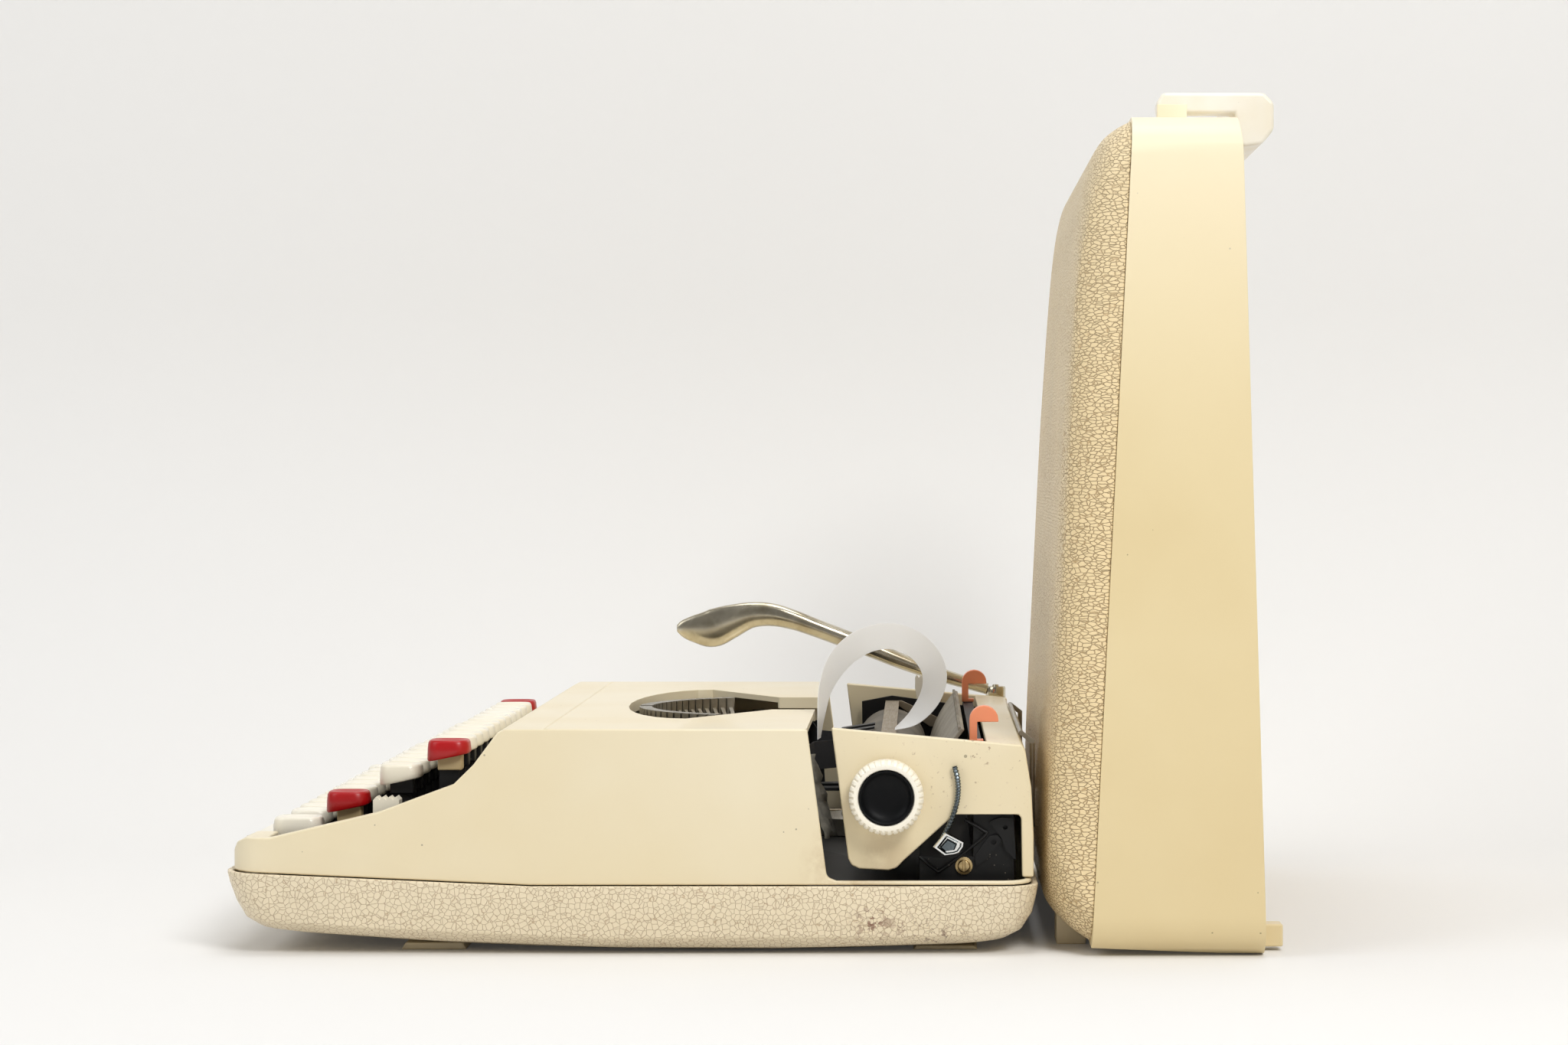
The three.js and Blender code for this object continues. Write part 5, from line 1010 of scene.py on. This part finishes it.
# %% Carriage release
def swept(points, section, per_step=8, ripple=0.0, side=0.0):
    """A bar along a path of depth and height; the section lists offsets across and sideways."""
    rows = through(points, per_step)
    rings = []
    for i, (depth, up) in enumerate(rows):
        before, after = neighbours(rows, i)
        way = Vector((after[0] - before[0], after[1] - before[1])).normalized()
        swell = 1 - ripple * (i % 2)
        ring = []
        for across, out in section:
            off = across * swell
            ring.append(at(side + out * swell, depth - way.y * off, up + way.x * off))
        rings.append(ring)
    return skin(rings)


def round_section(radius, count=12):
    return [(radius * math.cos(angle), radius * math.sin(angle)) for angle in around(count)]


WIRE_PATH = [
    (277.9, 71.6), (279.1, 66.5), (279.3, 61.5), (278.5, 56.5), (276.7, 51.0), (274.2, 46.0), (272.5, 43.5),
]
wire = swept(WIRE_PATH, round_section(1.15), per_step=9, ripple=0.28, side=142.0)
as_piece(wire, "release_wire", "carriage_release", SHADED_CHROME, "chrome", "carriage_release", sharp=25)


def folded_tab(outline, layers):
    """Rings of one outline at several distances, each shrunk about the outline's middle."""
    middle = [sum(p[k] for p in outline) / len(outline) for k in (0, 1)]
    rings = []
    for out, share in layers:
        ring = []
        for depth, up in outline:
            back, rise = depth - middle[0], up - middle[1]
            ring.append(at(out, middle[0] + back * share, middle[1] + rise * share))
        rings.append(ring)
    return skin(rings)


TAB_OUTLINE = [
    (274.3, 46.6), (281.5, 42.9), (281.3, 41.2), (279.6, 38.9), (277.8, 38.3), (274.0, 37.8), (269.8, 40.9),
]
TAB_LAYERS = [(140.7, 1.0), (143.6, 1.0), (144.2, 0.94), (144.2, 0.8), (142.9, 0.66)]
tab = folded_tab(TAB_OUTLINE, TAB_LAYERS)
as_piece(tab, "release_tab", "carriage_release", CHROME, "chrome", sharp=20)
PANEL_OUTLINE = [(275.2, 44.2), (278.9, 42.2), (277.9, 39.9), (274.3, 39.4), (272.3, 41.0)]
panel = folded_tab(PANEL_OUTLINE, [(142.4, 1.0), (143.9, 1.0), (145.0, 0.8)])
as_piece(panel, "release_panel", "carriage_release", SHADED_CHROME, "chrome", sharp=20)

# %% [markdown]
# Behind the cut-out in the end cover are the small black parts of the frame: a bent wire, a link
# with a hole, a lever plate. They are fixed to the frame's end. Each plate is a short ring of
# faces between its hole and its outline, so that it needs no cutting.


# %% Small parts at the frame's end
def plate_with_hole(outline, hole, radius, low, high, count=20):
    """A flat plate between two distances, with a round hole; built as a ring of faces."""
    work = bmesh.new()
    angles = around(count)
    inner = [(hole[0] + radius * math.cos(a), hole[1] + radius * math.sin(a)) for a in angles]
    outer = []
    for a in angles:
        best = None
        for (d0, u0), (d1, u1) in zip(outline, outline[1:] + outline[:1]):
            ex, ey = d1 - d0, u1 - u0
            cosine, sine = math.cos(a), math.sin(a)
            turn = cosine * ey - sine * ex
            if abs(turn) < 1e-9:
                continue
            t = ((d0 - hole[0]) * ey - (u0 - hole[1]) * ex) / turn
            w = ((d0 - hole[0]) * sine - (u0 - hole[1]) * cosine) / turn
            if t > 0 and -1e-6 <= w <= 1 + 1e-6 and (best is None or t < best):
                best = t
        outer.append((hole[0] + best * math.cos(a), hole[1] + best * math.sin(a)))
    loops = []
    for out, ring in ((low, inner), (low, outer), (high, outer), (high, inner)):
        loops.append([work.verts.new(at(out, d, u)) for d, u in ring])
    for first, second in zip(loops, loops[1:] + loops[:1]):
        for k in range(count):
            work.faces.new((first[k], first[(k + 1) % count], second[(k + 1) % count], second[k]))
    return work


BENT_PATH = [(281.9, 50.6), (288.8, 46.4), (289.2, 44.0), (273.5, 31.6), (270.6, 31.4), (264.5, 36.4)]
LINK_OUTLINE = [(296.2, 42.6), (294.4, 44.8), (291.2, 44.2), (284.2, 34.4), (286.6, 32.2), (288.6, 32.6)]
ARM_OUTLINE = [(300.6, 51.0), (296.2, 51.4), (291.0, 50.0), (296.0, 43.6), (298.4, 35.6), (301.6, 35.0)]
bent = swept(BENT_PATH, round_section(0.65, count=8), per_step=5, side=134.4)
as_piece(bent, "bent_wire", "base", BLACK, "black")
link = plate_with_hole(LINK_OUTLINE, hole=(293.0, 41.9), radius=1.0, low=133.3, high=134.1)
as_piece(link, "frame_link", "base", BLACK, "black", sharp=30)
arm = plate_with_hole(ARM_OUTLINE, hole=(297.4, 47.6), radius=0.9, low=134.3, high=134.9)
as_piece(arm, "frame_arm", "base", BLACK, "black", sharp=30)

# %% [markdown]
# In the gap between the housing and the carriage hangs a crumpled, dusty strip. It is a narrow
# grid that random pushes bend.


# %% Dusty strip in the gap
def crumpled(rows, columns, places, push):
    chance = random.Random(7)
    work = bmesh.new()
    grid = []
    for i in range(rows):
        t = i / (rows - 1)
        line = []
        for j in range(columns):
            u = j / (columns - 1)
            x, depth, up = places(t, u)
            x += chance.uniform(-push, push)
            depth += chance.uniform(-push, push)
            up += chance.uniform(-push, push) * 0.5
            line.append(work.verts.new(at(x, depth, up)))
        grid.append(line)
    for i in range(rows - 1):
        for j in range(columns - 1):
            work.faces.new((grid[i][j], grid[i][j + 1], grid[i + 1][j + 1], grid[i + 1][j]))
    return work


def gap_place(down, inwards):
    """Sideways, depth and height in the gap; both shares run from 0 to 1."""
    return 131 - 9 * inwards, 219.5 + 9 * down + 4.5 * inwards, 75 - 32 * down


strip = crumpled(rows=15, columns=5, places=gap_place, push=0.8)
dusty = as_piece(strip, "dusty_strip", "base", DUST, "black", sharp=30)
shell = dusty.modifiers.new("thickness", "SOLIDIFY")
shell.thickness = 0.5 * MM

# %% [markdown]
# The paper table ends in a comb of fine teeth along its upper edge. Each tooth is a small box, and
# the table's own box is printed first, to see where the comb has to stand.

# %% Comb of the paper table
table_low, table_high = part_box("paper_table")
print("paper table", [round(v / MM, 1) for v in (*table_low, *table_high)])
TEETH, TOOTH_STEP, HALF_TOOTH = 110, 2.1, 0.55
COMB_FRONT, COMB_BACK = 279.6, 280.6
COMB_LOW, COMB_TOP = 83.0, 84.5
teeth = bmesh.new()
for k in range(TEETH):
    x = (k - (TEETH - 1) / 2) * TOOTH_STEP
    low = at(x - HALF_TOOTH, COMB_FRONT, COMB_LOW)
    box_mesh(teeth, low, at(x + HALF_TOOTH, COMB_BACK, COMB_TOP))
as_piece(teeth, "table_teeth", "carriage", TABLE_RUBBER, "rubber", sharp=30)

# %% [markdown]
# The lid's shell is one smooth bowl. Its profile is measured at a few levels between the rim and
# the crown, and a curve through them gives the surface that a mould would have.


# %% Lid shell
LID_HALF, LID_RISE, LID_TOP = 155, 3.3, 318.8
LID_WALL = 3.0
LID_FRONT, LID_LEAN = 329.6, 15.6  # the depth of the rim's edge at the floor, and its lean to the top
SHELL_SEAT, SHELL_DEEP = 0.3, 19.3
CORNER, CORNER_GROWTH = 16, 4.5
# Share of the depth, then the insets at the bottom, the top and the sides in wall thicknesses
SHELL_LEVELS = [
    (0, 0.5, 0.5, 0.3),
    (0.3, 1.6, 1.5, 0.9),
    (0.56, 2.8, 3.1, 1.8),
    (0.78, 4.1, 6.4, 3),
    (0.92, 5.8, 13, 4.6),
    (1, 10.5, 25, 8.6),
]


def shell_ring(share, low, top, side, steps=12):
    half = LID_HALF - LID_WALL * side
    bottom, upper = LID_RISE + LID_WALL * low, LID_TOP - LID_WALL * top
    corner = CORNER + CORNER_GROWTH * side
    ring = []
    for quarter, (sx, sz) in enumerate(((1, 1), (-1, 1), (-1, -1), (1, -1))):
        middle = (sx * (half - corner), (upper - corner) if sz > 0 else (bottom + corner))
        for k in range(steps + 1):
            angle = math.pi / 2 * (quarter + k / steps)
            x = middle[0] + corner * math.cos(angle)
            z = middle[1] + corner * math.sin(angle)
            front = LID_FRONT + LID_LEAN * z / LID_TOP
            ring.append(at(x, front - SHELL_SEAT - SHELL_DEEP * share, z))
    return ring


levels = through(SHELL_LEVELS, 6)
outer = [shell_ring(*level) for level in levels]
bowl = skin(outer, cap_first=False)
shell_piece = as_piece(bowl, "lid_shell_skin", "lid", LID_SKIN, "grained", "lid_shell", sharp=60)
thick = shell_piece.modifiers.new("thickness", "SOLIDIFY")
thick.thickness = LID_WALL * MM
thick.offset = -1

# %% [markdown]
# The photograph was taken on a seamless pale sweep. One mesh does that: a floor that curves up
# into a wall. A little of what the camera sees of it is its own colour, so that it stays pale, and
# the rest is lit, so that the object's soft shadow still falls on it. Seen from behind, the
# wall is clear, so that the object can be looked at from that side too.


# %% Floor and backdrop
FLOOR_START, FLOOR_END = 2.4, -0.2
SWEEP_BEND, SWEEP_STEPS = 0.28, 16
SWEEP_TOP = 3.0
SWEEP_HALF = 4.0


def sweep():
    profile = [(FLOOR_START, 0.0), (FLOOR_END, 0.0)]
    for k in range(1, SWEEP_STEPS + 1):
        angle = math.pi / 2 * k / SWEEP_STEPS
        back = FLOOR_END - SWEEP_BEND * math.sin(angle)
        profile.append((back, SWEEP_BEND * (1 - math.cos(angle))))
    profile.append((FLOOR_END - SWEEP_BEND, SWEEP_TOP))
    mesh = bpy.data.meshes.new("sweep")
    points = [(x, side * SWEEP_HALF, z) for x, z in profile for side in (-1, 1)]
    quads = [(2 * k, 2 * k + 1, 2 * k + 3, 2 * k + 2) for k in range(len(profile) - 1)]
    mesh.from_pydata(points, [], quads)
    for polygon in mesh.polygons:
        polygon.use_smooth = True
    floor = bpy.data.objects.new("sweep", mesh)
    bpy.context.scene.collection.objects.link(floor)
    return floor


def sweep_material(own=0.03):
    """Pale paper; own is the share of its own colour in what the camera sees."""
    material = bpy.data.materials.new("pale_sweep")
    material.use_nodes = True
    tree = material.node_tree
    tree.nodes.remove(tree.nodes["Principled BSDF"])
    lit = put(tree, "ShaderNodeBsdfDiffuse", Color=linear(235, 234, 232))
    glow = put(tree, "ShaderNodeEmission", Color=linear(240, 238, 236), Strength=1.0)
    path = tree.nodes.new("ShaderNodeLightPath")
    seen = calc(tree, "ADD", path.outputs["Is Camera Ray"], path.outputs["Is Glossy Ray"])
    seen = calc(tree, "ADD", seen, path.outputs["Is Transmission Ray"], clamp=True)
    share = tree.nodes.new("ShaderNodeMixShader")
    tree.links.new(calc(tree, "MULTIPLY", seen, own), share.inputs[0])
    tree.links.new(lit.outputs[0], share.inputs[1])
    tree.links.new(glow.outputs[0], share.inputs[2])
    behind = tree.nodes.new("ShaderNodeNewGeometry").outputs["Backfacing"]
    clear = tree.nodes.new("ShaderNodeBsdfTransparent")
    one_sided = tree.nodes.new("ShaderNodeMixShader")
    tree.links.new(behind, one_sided.inputs[0])
    tree.links.new(share.outputs[0], one_sided.inputs[1])
    tree.links.new(clear.outputs[0], one_sided.inputs[2])
    tree.links.new(one_sided.outputs[0], tree.nodes["Material Output"].inputs["Surface"])
    return material


floor = sweep()
floor.data.materials.append(sweep_material())
print("sweep", len(floor.data.polygons), "faces")

# %% [markdown]
# Three large soft lamps light it: the strongest near the camera and to the right, a weaker one from
# the left, and one from above. The world fills the shadows evenly, and the camera sees it pale.


# %% Light
LIT_POINT = (0, 0, 0.1)
WORLD_LIGHT, WORLD_SEEN = 0.24, 0.84


def lamp(name, place, size, power, tint=(1.0, 1.0, 1.0)):
    data = bpy.data.lights.new(name, "AREA")
    data.shape = "DISK"
    data.size = size
    data.energy = power
    data.color = tint
    thing = bpy.data.objects.new(name, data)
    bpy.context.scene.collection.objects.link(thing)
    thing.location = place
    thing.rotation_euler = (Vector(LIT_POINT) - Vector(place)).to_track_quat("-Z", "Y").to_euler()


lamp("key_lamp", (1.6, 0.8, 1.45), size=0.8, power=23.5, tint=(1.0, 0.995, 0.985))
lamp("fill_lamp", (1.1, -1.6, 1.5), size=1.5, power=12, tint=(0.97, 0.985, 1.0))
lamp("top_lamp", (0.3, 0.1, 2.2), size=1.3, power=15)
world = bpy.data.worlds.new("studio")
bpy.context.scene.world = world
world.use_nodes = True
background = world.node_tree.nodes["Background"]
background.inputs["Color"].default_value = (1.0, 0.99, 0.98, 1.0)
world_path = world.node_tree.nodes.new("ShaderNodeLightPath").outputs["Is Camera Ray"]
world_strength = span(world.node_tree, world_path, 0, 1, WORLD_LIGHT, WORLD_SEEN)
world.node_tree.links.new(world_strength, background.inputs["Strength"])
bpy.context.scene.view_settings.view_transform = "Standard"
print("lamps", [light.name for light in bpy.data.lights])
